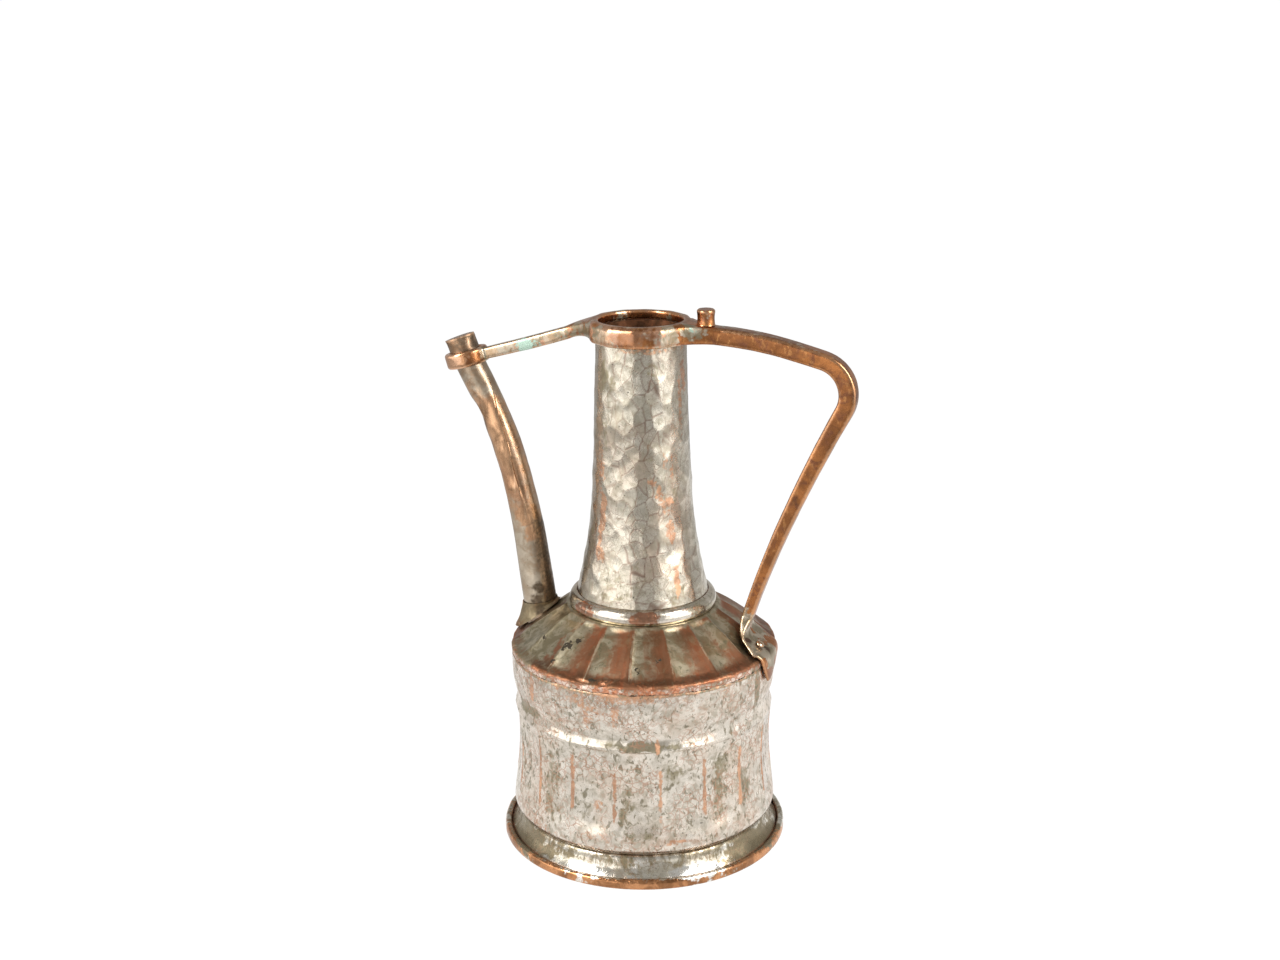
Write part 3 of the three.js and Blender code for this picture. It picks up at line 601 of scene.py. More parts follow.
def dabs(points, marks, seed):
    # ragged patches on a forged piece, each as x, y, z, reach, strength
    ragged = raggedEdge(points, 4, 1.5, seed)
    total = np.zeros(len(points))
    for x, y, z, wide, strength in marks:
        way = np.linalg.norm(points - [x + axisX, y, z], axis=1) / wide
        total = np.maximum(total, strength * (1 - rise(way + ragged, 0.5, 1.2)))
    return total


def insideShare(points, normals):
    # 1 where a turned sheet faces the axis
    turn = turnAndReach(points)[0]
    return rise(-(normals[:, 0] * np.cos(turn) + normals[:, 1] * np.sin(turn)), 0.3, 0.7)


def flutesPast(turn, start):
    # how many flutes a place lies past the first ridge
    return (turn - math.radians(start)) * fluteCount / (2 * math.pi)


def fluteWay(turn, start):
    # 0 to 1 from one ridge to the next, and the nearest ridge's number
    way = flutesPast(turn, start)
    return way - np.floor(way), np.mod(np.floor(way + 0.5), fluteCount).astype(np.int64)


def fluteHollow(angles, start, flat, skew=1.0):
    # |sin| of the place between two ridges, bent towards the first by a power and flattened by another
    place = np.mod(flutesPast(angles, start), 1)
    return np.abs(np.sin(math.pi * place**skew)) ** flat


def ridgeValues(ridge, seed):
    # three numbers from 0 to 1 that each ridge has to itself
    return [cornerValue(ridge, ridge * 0 + n, ridge * 0, seed) for n in range(3)]


# Finishes
def shaken(value, *noises):
    # a value with some noises added, each measured from its middle and times its own amount
    for noise, amount in noises:
        value = value + (noise - 0.5) * amount
    return value


def tinFinish(name, look):
    # tin over copper, rubbed through: mottled tin, olive stains, short dark strokes, crazing, pits and bare
    # copper; the pale and the olive tones also serve as painted highlights and painted shade
    finish = Finish(name)
    blend, band, noise, most = finish.blend, finish.band, finish.noise, finish.most
    copper, stain, seam, inside, dish = finish.painted("copper", "stain", "seam", "inside", "dish")
    broad = noise(20, 3)
    mottle = noise(2.7, 4, 0.68, 0.5)
    patchy = noise(5.5, 4, 0.6, 0.6)
    grain = noise(1.2, 3)
    strokes = noise(1.7, 4, 0.62, 0.9, stretch=(1, 1, look["strokeStretch"]))
    colour = blend(band(patchy, 0.40, 0.60), look["grey"], look["light"])
    colour = blend(band(broad, 0.46, 0.64) * 0.7, colour, look["warm"])
    # pale tin: a tone for each dish, and painted highlights where the painted share is below 0
    pale = most(band(dish, 0.1, 0.9) * look["dishes"], band(-stain + (mottle - 0.5), 0.1, 0.9) * 0.75)
    colour = blend(pale, colour, look["bright"])
    colour = blend(band(mottle, 0.46, 0.62) * look["mottles"], colour, look["shadow"])
    # olive: stains, and painted shade where a patch was laid to dim a highlight
    olive = band(shaken(stain, (patchy, 1.3), (mottle, 1.2), (strokes, 1.0)), 0.35, 0.95) * look["olives"]
    colour = blend(olive, colour, look["olive"])
    dark = band(strokes + stain * 0.05, look["strokeFrom"], look["strokeFrom"] + 0.08) * look["strokes"]
    colour = blend(dark, colour, look["stroke"])
    lines = 1 - band(finish.cells(look["crazeSize"], 0.9), 0.02, 0.085)
    lines = lines * band(noise(11, 2), 0.40, 0.60)
    lines = most(lines * (copper * 0.5 + look["craze"]), seam * look["seams"])
    colour = blend(lines, colour, look["crazeTone"])
    bare = band(shaken(copper, (grain, 1.5), (patchy, 0.9)), 0.36, 0.82) * look["bare"]
    bareTone = blend(band(patchy, 0.40, 0.62), look["copperDark"], look["copperLight"])
    colour = blend(bare, colour, bareTone)
    pits = 1 - band(finish.cells(3.1, 0.3, "F1"), 0.07, 0.17)
    pits = pits * band(noise(8, 2), 0.50, 0.60) * look["pits"]
    colour = blend(pits, colour, look["pit"])
    # darker inside the vessel; in the foot's groove this is painted shade
    colour = blend(inside, colour, blend(band(patchy, 0.4, 0.6), look["insideDark"], look["insideLight"]))
    roughness = shaken(look["rough"], (mottle, 0.3)) + dark * 0.2 + olive * 0.1 - dish * 0.05 - pale * 0.06
    roughness = roughness + inside * 0.25
    bumps = finish.relief(strokes, look["strokeDeep"])
    bumps = finish.relief(grain, look["grainDeep"], bumps)
    bumps = finish.relief(-(lines + pits), look["crazeDeep"], bumps)
    metallic = 1.0 - dark * 0.35 - olive * 0.15
    return finish.surface(Base_Color=colour, Metallic=metallic, Roughness=roughness, Normal=bumps)


def copperFinish(name, look):
    # forged copper: brown faces, rubbed edges, grey tin that was left, dark spots and a little verdigris;
    # the rubbed and pink shares also hold painted highlights, and the dark share also holds painted shade
    finish = Finish(name)
    blend, band, noise, most = finish.blend, finish.band, finish.noise, finish.most
    rub, tin, dark, green, pink = finish.painted("rub", "tin", "dark", "green", "pink")
    broad = noise(13, 3)
    patchy = noise(4, 4, 0.6, 0.8)
    grain = noise(1.0, 3)
    scratches = noise(1.2, 3, 0.6, 0.3, stretch=look["scratch"])
    colour = blend(band(broad, 0.38, 0.62), look["brown"], look["orange"])
    colour = blend(band(patchy, 0.50, 0.66) * 0.75, colour, look["plum"])
    colour = blend(band(scratches, 0.56, 0.68) * 0.45, colour, look["gold"])
    streaks = noise(look["streakSize"], 3, 0.6, 0.2, stretch=look["scratch"])
    colour = blend(band(streaks, 0.44, 0.64) * look["streaks"], colour, look["streak"])
    # pink: painted highlight
    colour = blend(band(shaken(pink, (patchy, 0.5)), 0.1, 0.9) * 0.75, colour, look["pink"])
    grey = band(shaken(tin, (patchy, look["ragged"]), (grain, 0.6)), *look["greyFrom"])
    greyTone = blend(band(patchy, *look["greyTones"]), look["tinDark"], look["tinLight"])
    colour = blend(grey, colour, greyTone)
    # edge colour on rubbed edges, and on painted highlights
    shine = band(shaken(rub, (grain, 0.5)), 0.22, 0.5)
    colour = blend(shine * look["shine"], colour, look["edge"])
    # painted shade: an even darkening by the dark share
    colour = blend(band(dark, 0.0, 1.0) * 0.6, colour, look["sootAndShade"])
    sootAndShade = band(shaken(dark, (grain, 0.9), (patchy, 0.5)), *look["sootFrom"])
    sootAndShade = most(sootAndShade, band(-rub, 0.25, 0.7) * 0.6)
    specks = (1 - band(finish.cells(2.7, 0.4, "F1"), 0.08, 0.2)) * band(noise(6, 2), 0.50, 0.6)
    sootAndShade = most(sootAndShade, specks * look["specks"])
    colour = blend(sootAndShade, colour, look["sootAndShade"])
    colour = blend(band(shaken(green, (grain, 1.4)), 0.45, 0.7), colour, look["verdigris"])
    roughness = shaken(look["rough"], (grain, 0.25)) + sootAndShade * 0.2 + grey * 0.04 - shine * 0.06
    bumps = finish.relief(scratches, 0.04)
    bumps = finish.relief(grain, 0.03, bumps)
    metallic = 1.0 - sootAndShade * 0.3 - band(green, 0.4, 0.7) * 0.5
    return finish.surface(Base_Color=colour, Metallic=metallic, Roughness=roughness, Normal=bumps)


def wornFinish(name, look):
    # brown copper with grey-green tin strips; the turned edge looks like the drum's tin; ridges carry a
    # painted highlight, and the dark share gives dark pits and painted shade
    finish = Finish(name)
    blend, band, noise = finish.blend, finish.band, finish.noise
    tin, ridge, dark, hem, copper = finish.painted("tin", "ridge", "dark", "hem", "copper")
    streak, fold, rim = finish.painted("streak", "fold", "rim")
    broad = noise(12, 3)
    patchy = noise(4, 4, 0.6, 0.7)
    grain = noise(1.0, 3)
    strokes = noise(1.5, 4, 0.6, 0.8)
    colour = blend(band(shaken(streak, (patchy, 0.8)), 0.30, 0.72), look["brown"], look["red"])
    colour = blend(band(shaken(broad, (streak, 0.3)), 0.44, 0.66) * 0.8, colour, look["umber"])
    colour = blend(band(shaken(patchy, (streak, 0.2)), 0.50, 0.68) * 0.5, colour, look["khaki"])
    colour = blend(band(strokes, 0.58, 0.66) * 0.4, colour, look["rust"])
    colour = blend(rim * band(patchy, 0.36, 0.56) * 0.7, colour, look["shade"])
    grey = band(shaken(tin, (patchy, 0.8), (strokes, 0.9), (streak, 0.35)), 0.08, 0.98)
    greyTone = blend(band(patchy, 0.42, 0.60), look["tinDark"], look["tinLight"])
    greyTone = blend(band(strokes, 0.57, 0.64) * 0.6, greyTone, look["moss"])
    colour = blend(grey, colour, greyTone)
    # painted highlight along the ridges
    colour = blend(band(shaken(ridge, (grain, 0.8)), 0.3, 0.8) * 0.6, colour, look["bright"])
    hemTone = blend(band(patchy, 0.42, 0.58), look["hemDark"], look["hemLight"])
    hemTone = blend(band(strokes, 0.57, 0.64) * 0.7, hemTone, look["moss"])
    hemLines = 1 - band(finish.cells(3.2, 0.9), 0.03, 0.11)
    hemTone = blend(hemLines * 0.75, hemTone, look["copperDark"])
    colour = blend(hem, colour, hemTone)
    bare = band(shaken(copper, (grain, 1.3), (patchy, 0.9)), 0.40, 0.74) * 0.9
    bareTone = blend(band(strokes, 0.42, 0.6), look["copperDark"], look["copperLight"])
    colour = blend(bare, colour, bareTone)
    # dark pits, and painted shade along the hem's lower edge
    sootAndShade = band(shaken(dark * 0.95, (grain, 1.8), (strokes, 2.2)), 0.56, 0.78)
    colour = blend(sootAndShade, colour, look["sootAndShade"])
    roughness = shaken(look["rough"], (grain, 0.25)) + sootAndShade * 0.2 + fold * 0.12 + hem * 0.26
    bumps = finish.relief(strokes, 0.05)
    bumps = finish.relief(grain - sootAndShade, 0.05, bumps)
    metallic = 1.0 - sootAndShade * 0.4 - (1.0 - grey) * 0.12
    return finish.surface(Base_Color=colour, Metallic=metallic, Roughness=roughness, Normal=bumps)


def plainFinish(name, look):
    # scaled iron or old tin, by position only
    finish = Finish(name)
    patchy = finish.noise(4, 4, 0.6, 0.6)
    grain = finish.noise(1.1, 3)
    colour = finish.blend(finish.band(patchy, 0.38, 0.62), look["dark"], look["light"])
    colour = finish.blend(finish.band(grain, 0.55, 0.66) * 0.7, colour, look["spot"])
    roughness = shaken(look["rough"], (patchy, 0.3))
    bumps = finish.relief(grain, 0.08)
    return finish.surface(Base_Color=colour, Metallic=0.85, Roughness=roughness, Normal=bumps)


def dress(piece, material, slot, *nodes):
    piece.data.materials.clear()
    piece.data.materials.append(material)
    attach(piece, "root")
    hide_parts(*nodes)


# Tin on the turned pieces: its tones, its stains and the copper under it
tinLook = {
    "light": (234, 224, 210), "grey": (206, 197, 183), "warm": (220, 201, 182),
    # bright is the tone of paler dishes and of painted highlights; olive is the tone of stains and of
    # painted shade
    "bright": (248, 240, 228), "dishes": 0.5,
    "shadow": (160, 150, 129), "mottles": 0.55,
    "olive": (136, 126, 98), "olives": 0.82,
    "stroke": (112, 104, 83), "strokes": 0.8, "strokeFrom": 0.552,
    "strokeStretch": 0.55, "strokeDeep": 0.05,
    "crazeTone": (182, 136, 110), "craze": 0.62, "crazeSize": 3.6, "crazeDeep": 0.05, "seams": 0.5,
    "copperDark": (186, 136, 104), "copperLight": (222, 170, 134), "bare": 0.85,
    "pit": (58, 50, 38), "pits": 0.8,
    "insideDark": (100, 72, 52), "insideLight": (156, 108, 78),
    "rough": 0.33, "grainDeep": 0.04,
}

# Drum
drum = {
    "sheet": 1.0,
    "columns": 30,  # for each flute
    "spacing": 0.9,  # between rows, up the wall
    "wall": [
        (64.4, 15.6), (67.5, 15.7), (70.0, 16.2), (72.2, 17.9), (73.2, 20.5), (72.9, 24.5),
        (72.3, 31), (71.2, 41), (70.4, 52), (70.4, 62), (70.9, 70), (71.3, 75.6),
    ],
    "ledge": [
        (71.3, 75.6), (71.2, 76.9), (70.5, 78.6), (69.6, 81.2), (69.5, 83.4), (70.4, 86.4),
        (71.6, 90), (72.2, 95), (72.6, 101), (72.5, 106),
    ],
    "lip": [(72.5, 106), (72.5, 107.8), (72.1, 108.5), (71.7, 109.3), (71.6, 111.7)],
    "fluteStart": 14.6,  # degrees round to the first ridge
    "fluteFoot": 25.5,
    "fluteHead": 75.8,
    "fluteDepth": 1.75,
    "fluteFlat": 0.62,  # below 1 the hollow is flatter and the ridge sharper
    "fluteWidth": 25.3,
    "girth": 2 * math.pi * 72,
    "hammer": {
        "blow": (5.2, 4.8), "jitter": 0.95, "tilt": 0.11,
        "roundX": 50, "roundZ": 50, "uneven": 0.08, "seam": 0.035,
    },
    "grooveHeight": 81.6,
    "grooveReach": 4.2,
    "grooveFill": 1.25,  # how thick the groove is filled, times the share at each place round
    "fillShare": [
        (-180, 0.3), (-145, 0.8), (-124, 0.7), (-115, 0.1), (-94, 0.0), (-86, 0.35), (-60, 0.3),
        (-53, 0.0), (-45, 0.05), (-36, 0.85), (-8, 0.9), (20, 0.4), (90, 0.6), (180, 0.3),
    ],
}
drumPaint = {
    "copper": [
        (-88, 108, 11, 7, 0.7), (-102, 104, 8, 6, 0.55), (-74, 108.5, 16, 6, 0.66),
        (-57.5, 109.5, 10, 3, 0.6), (-112, 108, 5, 3, 0.6), (-96, 101, 5, 9, 0.55),
        (-96.3, 95.5, 4, 11, 0.52), (-91.5, 100, 3.4, 10, 0.52), (-84.5, 98, 2.4, 14, 0.58),
        (-128, 99, 2.4, 9, 0.7), (-66.6, 78.6, 1.1, 4, 1.1), (-82, 77, 3, 3, 0.6),
        (-57.6, 23.8, 9, 1.8, 0.75), (-93.7, 43.7, 5, 4, 0.6), (-91.5, 26, 15, 4, 0.42),
        (-122, 21, 12, 4, 0.5), (150, 70, 10, 12, 0.6), (60, 95, 16, 8, 0.7),
        (100, 30, 20, 6, 0.5),
    ],
    # olive stains, and pale tin below 0. Some are painted light: the pale marks on the ledge at -101 and
    # -48 degrees and on the band at -38 and -30 degrees are painted highlights, and the dark ones on the
    # ledge at -72, -87 and -33 degrees are painted shade
    "stain": [
        (-136, 85, 15, 5, 1.5), (-60.5, 60, 8, 6, 0.75), (-36.7, 50, 6, 18, 0.7),
        (-22, 46, 7, 14, 0.65), (-30, 62, 10, 7, 0.6), (-74.4, 27.5, 12, 4, 0.75),
        (-79, 42, 7, 15, 0.36), (-15, 97, 4, 12, 1.3), (-117, 46, 6, 20, 0.55),
        (-148, 55, 8, 30, 0.55), (-72, 78.8, 20, 3.2, 1.3), (-87, 79, 4, 3, 0.9),
        (-38, 96, 26, 10, -0.8), (-20, 70, 8, 30, -0.6), (-104, 60, 10, 14, -0.5),
        (-62, 40, 12, 10, -0.5), (-95, 88, 16, 5, -0.6), (-50, 88, 14, 5, -0.7),
        (-101, 79.5, 18, 5, -1.5), (-48, 80, 8, 5, -1.6), (-30, 92, 22, 16, -0.9),
        (-28, 40, 10, 18, -0.4), (-33, 79, 8, 4, 0.55), (40, 60, 20, 18, 0.6),
        (120, 90, 22, 9, 0.7), (165, 40, 16, 16, 0.6),
    ],
}


def drumMarks(turn, height):
    return hammerMarks(turn / (2 * math.pi), height, drum["girth"], drum["hammer"], 21)


def makeDrum():
    angles = turnedAngles(fluteCount * drum["columns"], drum["fluteStart"])
    line = chain(
        curveThrough(drum["wall"], drum["spacing"]),
        curveThrough(drum["ledge"], drum["spacing"] * 0.8),
        curveThrough(drum["lip"], drum["spacing"]),
    )
    height = line[:, 1:]
    place = ring(line[:, :1], height, angles)
    sway = softNoise(place, 9, 5) * 0.9
    low = rise(height, drum["fluteFoot"] - 1 + sway, drum["fluteFoot"] + 9 + sway)
    high = 1 - rise(height, drum["fluteHead"] - 1.6, drum["fluteHead"] + 1.2)
    ridgeWear = 0.86 + 0.14 * softNoise(place, 7, 8)
    hollow = fluteHollow(angles + softNoise(place, 30, 3) * 0.006, drum["fluteStart"], drum["fluteFlat"])
    lift = -drum["fluteDepth"] * low * high * hollow * ridgeWear
    upper = rise(height, 84, 92) * (1 - rise(height, 105, 107))
    marks = drumMarks(angles, height)[0]
    lift = lift + marks * (1.0 * upper + 0.4 * low * high)
    lift = lift + 0.22 * layeredNoise(place, 26, 41) + 0.05 * layeredNoise(place, 3.5, 42, 2)
    atLedge = rise(height, 73.5, 77) * (1 - rise(height, 83, 89))
    atTop = rise(height, 100, 104) * (1 - rise(height, 107.5, 108.6))
    lift = lift + atLedge * 0.4 * layeredNoise(place, 6.5, 44)
    lift = lift + atTop * (0.3 * layeredNoise(place, 6, 45) - 0.12)
    around = np.mod(np.degrees(angles) + 180 + 4 * softNoise(place, 9, 46), 360) - 180
    fill = drum["grooveFill"] * fromTable(around, drum["fillShare"])
    lift = lift + fill * bell(height, drum["grooveHeight"], drum["grooveReach"])
    return makePiece("drum_wall", [closedMesh(sheetShell(line, drum["sheet"], angles, lift, 4))])


def paintDrum(piece):
    # ridges rubbed to copper, a copper rim under the shoulder, olive and dark stains; also painted shade in
    # the crease under the hem and across each flute, and pale painted highlights
    points, normals = pointsAndNormals(piece)
    turn, height = turnAndReach(points)[0], points[:, 2]
    way, ridge = fluteWay(turn, drum["fluteStart"])
    away = np.minimum(way, 1 - way) * drum["fluteWidth"] + 0.45 * softNoise(points, 4, 203)
    low, high, strength = ridgeValues(ridge, 5)
    away = away + 0.5 * layeredNoise(points, 5, 205)
    line = (1 - rise(away, 0.5, 1.9)) * rise(height, 29 + 9 * low, 34 + 9 * low)
    line = line * (1 - rise(height, 60 + 9 * high, 66 + 9 * high)) * (1 + 0.35 * softNoise(points, 8, 207))
    copper = np.maximum(line * (0.76 + 0.35 * strength), wearStainAndLightPatches(points, drumPaint["copper"], 201))
    # the crease under the hem: a little copper, and olive laid over it as painted shade that dulls the
    # highlight there
    crease = rise(height + 0.3 * softNoise(points, 3, 209), 107.0, 107.8)
    copper = np.maximum(copper, 0.22 * rise(height, 98, 106) + 0.3 * crease)
    seam, own = drumMarks(turn, height)[1:]
    upper = np.maximum(rise(height, 84, 90), 1 - rise(height, 24, 30))
    fluted = rise(height, 28, 36) * (1 - rise(height, 70, 76))
    # painted shade across each flute: darker just past a ridge, paler before the next one
    hollow = 0.45 * rise(way, 0.05, 0.12) * (1 - rise(way, 0.25, 0.8)) - 0.6 * rise(way, 0.74, 0.9)
    stain = wearStainAndLightPatches(points, drumPaint["stain"], 211)
    stain = np.maximum(stain + fluted * hollow * (1 - np.abs(np.clip(stain, -1, 1))), 1.5 * crease)
    dish = 0.5 + (own - 0.5) * (0.35 + 0.65 * upper)
    inside = insideShare(points, normals)
    paintOn(piece, dish=dish, copper=copper, stain=stain, seam=seam * upper, inside=inside)


drumWall = makeDrum()
paintDrum(drumWall)
dress(drumWall, tinFinish("drum_tin", tinLook), "tinned_copper", "drum")
print("drum ready")

# Foot: one sheet from the flange down the flare, along the floor, and rolled up and in over a wire
foot = {
    "sheet": 0.8,
    "columns": 480,
    "flare": [
        (63.3, 14.5), (66.5, 14.5), (68.5, 14.2), (69.3, 13.0), (69.9, 10.8), (71.2, 7.6),
        (73.2, 4.7), (75.7, 2.2),
    ],
    "roll": [
        (75.7, 2.2), (76.2, 0.6), (77.2, 0.0), (78.6, 0.15), (79.45, 1.3), (79.5, 3.2),
        (78.9, 4.9), (77.6, 5.65), (76.3, 5.45), (75.4, 4.7),
    ],
    "hammer": {**drum["hammer"], "blow": (7, 9)},
}
footPaint = {
    "copper": [
        (-75, 2.5, 44, 5, 1.1), (-112, 2.5, 26, 5, 1.0), (-145, 2.5, 26, 5, 0.9),
        (-28, 2.5, 30, 5, 0.95), (0, 2.5, 22, 4, 0.7), (60, 2.5, 50, 4.5, 0.8),
        (140, 2.5, 50, 4.5, 0.85), (-170, 2.5, 30, 4.5, 0.7),
    ],
    # the pale marks at -99 and -50 degrees are painted highlights; the others lay olive on the flare
    "stain": [
        (-72.5, 8.5, 15, 6, 0.6), (-18, 7, 38, 8, 1.3), (-136, 8, 42, 8, 1.3),
        (-99, 5, 15, 4, -1.3), (-50, 5, 17, 4.4, -1.4), (170, 8, 60, 6, 0.7), (90, 8, 60, 6, 0.7),
        (20, 8, 40, 6, 0.7), (-43, 3, 4, 5, 1.0),
    ],
}
footLook = {
    **tinLook,
    "light": (232, 225, 211), "grey": (210, 202, 184), "warm": (206, 192, 170), "bright": (250, 249, 245),
    "shadow": (158, 149, 130), "mottles": 0.42, "olive": (130, 116, 89), "olives": 0.95, "strokes": 0.5,
    "strokeDeep": 0.02, "strokeStretch": 0.28, "craze": 0.2, "pits": 0.5, "bare": 1.0, "rough": 0.19,
    "copperDark": (150, 104, 70), "copperLight": (204, 146, 102),
}


def makeFoot():
    angles = turnedAngles(foot["columns"])
    line = chain(curveThrough(foot["flare"], 0.6), curveThrough(foot["roll"], 0.4))
    height = line[:, 1:]
    place = ring(line[:, :1], height, angles)
    onRoll = rise(np.arange(len(line))[:, None] / len(line), 0.62, 0.7)
    offFloor = rise(height, 0.5, 2.2)
    marks = hammerMarks(angles / (2 * math.pi), height, drum["girth"], foot["hammer"], 66)[0]
    lift = (0.22 * layeredNoise(place, 19, 61) + 0.7 * marks - 0.16) * (1 - onRoll)
    lift = lift + onRoll * (0.22 * layeredNoise(place * [1, 1, 0.4], 8, 63) - 0.2)
    return makePiece("foot", [closedMesh(sheetShell(line, foot["sheet"], angles, lift * offFloor, 1))])


def paintFoot(piece):
    # dull olive flare, more olive towards its top, copper on the rolled edge, painted shade in the groove
    # behind it
    points, normals = pointsAndNormals(piece)
    reach, height = turnAndReach(points)[1], points[:, 2]
    rolled = rise(reach, 75.6, 76.6) * (1 - rise(height, 5.0, 6.2))
    # painted shade: the groove behind the rolled edge takes the dark inside tone
    groove = rise(reach, 74.2, 75.0) * (1 - rise(reach, 75.9, 76.6)) * (1 - rise(height, 4.4, 5.6))
    upper = rise(height, 6, 10.5)
    stain = wearStainAndLightPatches(points, footPaint["stain"], 223)
    paintOn(
        piece,
        copper=wearStainAndLightPatches(points, footPaint["copper"], 221) * rolled,
        stain=np.where(np.abs(stain) > 0.5, stain, np.maximum(stain, 0.3 + 0.45 * upper)),
        seam=0,
        dish=0.5 + 0.5 * softNoise(points, 7, 225),
        inside=np.maximum(insideShare(points, normals) * (reach < 76), groove),
    )


footSheet = makeFoot()
paintFoot(footSheet)
dress(footSheet, tinFinish("foot_tin", footLook), "tinned_copper", "foot_ring")
print("foot ready")

# Shoulder: a fluted slope from the seat of the neck out to a hem turned down over the drum
shoulder = {
    "sheet": 1.0,
    "columns": 36,
    "spacing": 0.62,
    "fluteStart": 1.1,
    "fluteDepth": 1.6,
    "fluteFlat": 0.75,
    "fluteSkew": 0.72,  # below 1 the hollow is deepest just past the ridge
    "ridgeRounds": 3,  # more makes the ridges rounder
    "topRadius": 41.5,
    "topHeight": shoulderHigh[2] - 0.1,
    "edgeRadius": rimRadius - 2,
    "edgeHeight": 113.6,
    "swell": 1.2,
    "hem": [(-0.9, 113.1), (-0.25, 112.4), (0, 111.3), (0, 108.8)],  # distance from the rim, height
    "crumpled": (260, 15),  # degrees round to the middle of the crumpled part, and its reach
}
shoulderPaint = {
    "tin": [
        (-136, 52, 16, 44, 1.1), (-150, 60, 16, 44, 1.0), (-118, 57, 3.5, 12, 0.9),
        (-22, 52, 8, 9, 0.95), (-19, 60, 6, 5, 0.5), (-95, 69, 7, 3, 0.8), (-87, 67, 4, 3, 0.5),
        (-10, 55, 6, 16, 0.8), (170, 55, 16, 30, 0.6), (80, 60, 20, 20, 0.5),
    ],
    "pits": [
        (-116.5, 55.5, 3.0, 2.6, 1.1), (-113.6, 52.2, 2.4, 2.0, 1.1), (-118, 59, 2.0, 1.6, 0.9),
        (-137, 58.6, 2.2, 1.4, 0.9), (-119, 66, 2, 2, 0.9), (-75.5, 62.8, 1.6, 2, 0.8),
        (-65, 59.2, 2.4, 2, 0.7), (-95, 69, 3, 1.6, 0.8),
    ],
}
shoulderLook = {
    "brown": (150, 104, 76), "red": (164, 96, 64), "umber": (118, 88, 62), "khaki": (150, 124, 92),
    "shade": (94, 66, 46), "rust": (176, 100, 62), "sootAndShade": (58, 50, 38),
    "tinDark": (154, 142, 114), "tinLight": (188, 176, 150), "moss": (118, 114, 88),
    # bright is the colour of the painted highlight on each ridge
    "bright": (206, 193, 164),
    "hemDark": (170, 153, 134), "hemLight": (222, 204, 190),
    "copperDark": (170, 106, 72), "copperLight": (222, 158, 120),
    "rough": 0.36,
}


def shoulderHeight(radius):
    # the slope: top less the drop times a power of the way out
    start, top = shoulder["topRadius"], shoulder["topHeight"]
    way = np.clip((radius - start) / (shoulder["edgeRadius"] - start), 0, 1)
    return top - (top - shoulder["edgeHeight"]) * way ** shoulder["swell"]


def shoulderLean(radius):
    # how far the slope tips down, in radians
    return np.arctan2(shoulderHeight(radius - 0.5) - shoulderHeight(radius + 0.5), 1.0)


def shoulderLine():
    radius = np.linspace(shoulder["topRadius"], shoulder["edgeRadius"], 80)
    slope = evenly(np.stack([radius, shoulderHeight(radius)], 1), shoulder["spacing"])
    seatHeight = slope[0, 1] + 0.1
    seat = curveThrough([(34.7, seatHeight), (38, seatHeight), slope[0]], 1.2)
    hem = curveThrough([slope[-1]] + [(rimRadius + out, height) for out, height in shoulder["hem"]], 0.45)
    return chain(seat, slope, hem)


def shoulderLift(radius, angles, place):
    inner = rise(radius, shoulder["topRadius"] - 0.5, shoulder["topRadius"] + 4)
    edge = 1 - rise(radius, rimRadius - 5.5, rimRadius - 1.6)
    turn = angles + softNoise(place, 26, 71) * 0.008
    hollow = fluteHollow(turn, shoulder["fluteStart"], shoulder["fluteFlat"], shoulder["fluteSkew"])
    for _ in range(shoulder["ridgeRounds"]):
        hollow = (2 * hollow + np.roll(hollow, 1, 1) + np.roll(hollow, -1, 1)) / 4
    return -shoulder["fluteDepth"] * inner * edge * hollow


def makeShoulder():
    angles = turnedAngles(fluteCount * shoulder["columns"], shoulder["fluteStart"])
    line = shoulderLine()
    radius, height = line[:, :1], line[:, 1:]
    place = ring(radius, height, angles)
    lift = shoulderLift(radius, angles, place)
    lift = lift + 0.12 * layeredNoise(place, 16, 73) + 0.045 * layeredNoise(place, 3, 74, 2)
    hem = rise(-height, -112.9, -111.5)
    crumpled = bell(np.degrees(angles), *shoulder["crumpled"])
    lift = lift + hem * (0.2 * layeredNoise(place, 5, 75) + 0.34 * softNoise(place, 3.6, 80) - 0.27)
    lift = lift - 0.75 * hem * (crumpled + 0.25) * np.clip(layeredNoise(place, 3.4, 76) + 0.2, 0, 1)
    atFold = rise(radius, rimRadius - 3.5, rimRadius - 1.2) * rise(height, 109.8, 111.6)
    lift = lift + atFold * (0.42 * softNoise(place, 7, 77) + 0.12 * softNoise(place, 2.8, 78))
    lift = lift - atFold * crumpled * (1.2 * np.abs(softNoise(place, 4.2, 79)) - 0.2)
    shell = sheetShell(line[::-1], shoulder["sheet"], angles, lift[::-1], 3)
    onHem = rise(np.hypot(shell[..., 0], shell[..., 1]), 69.5, 70.5)
    share = np.clip((111.6 - shell[..., 2]) / 2.6, 0, 1) * onHem  # the hem's lower edge is uneven
    shell[..., 2] += share * (0.55 * layeredNoise(shell, 9, 83) + 0.3 * softNoise(shell, 3.4, 84) + 0.1)
    return makePiece("shoulder_sheet", [closedMesh(shell)])


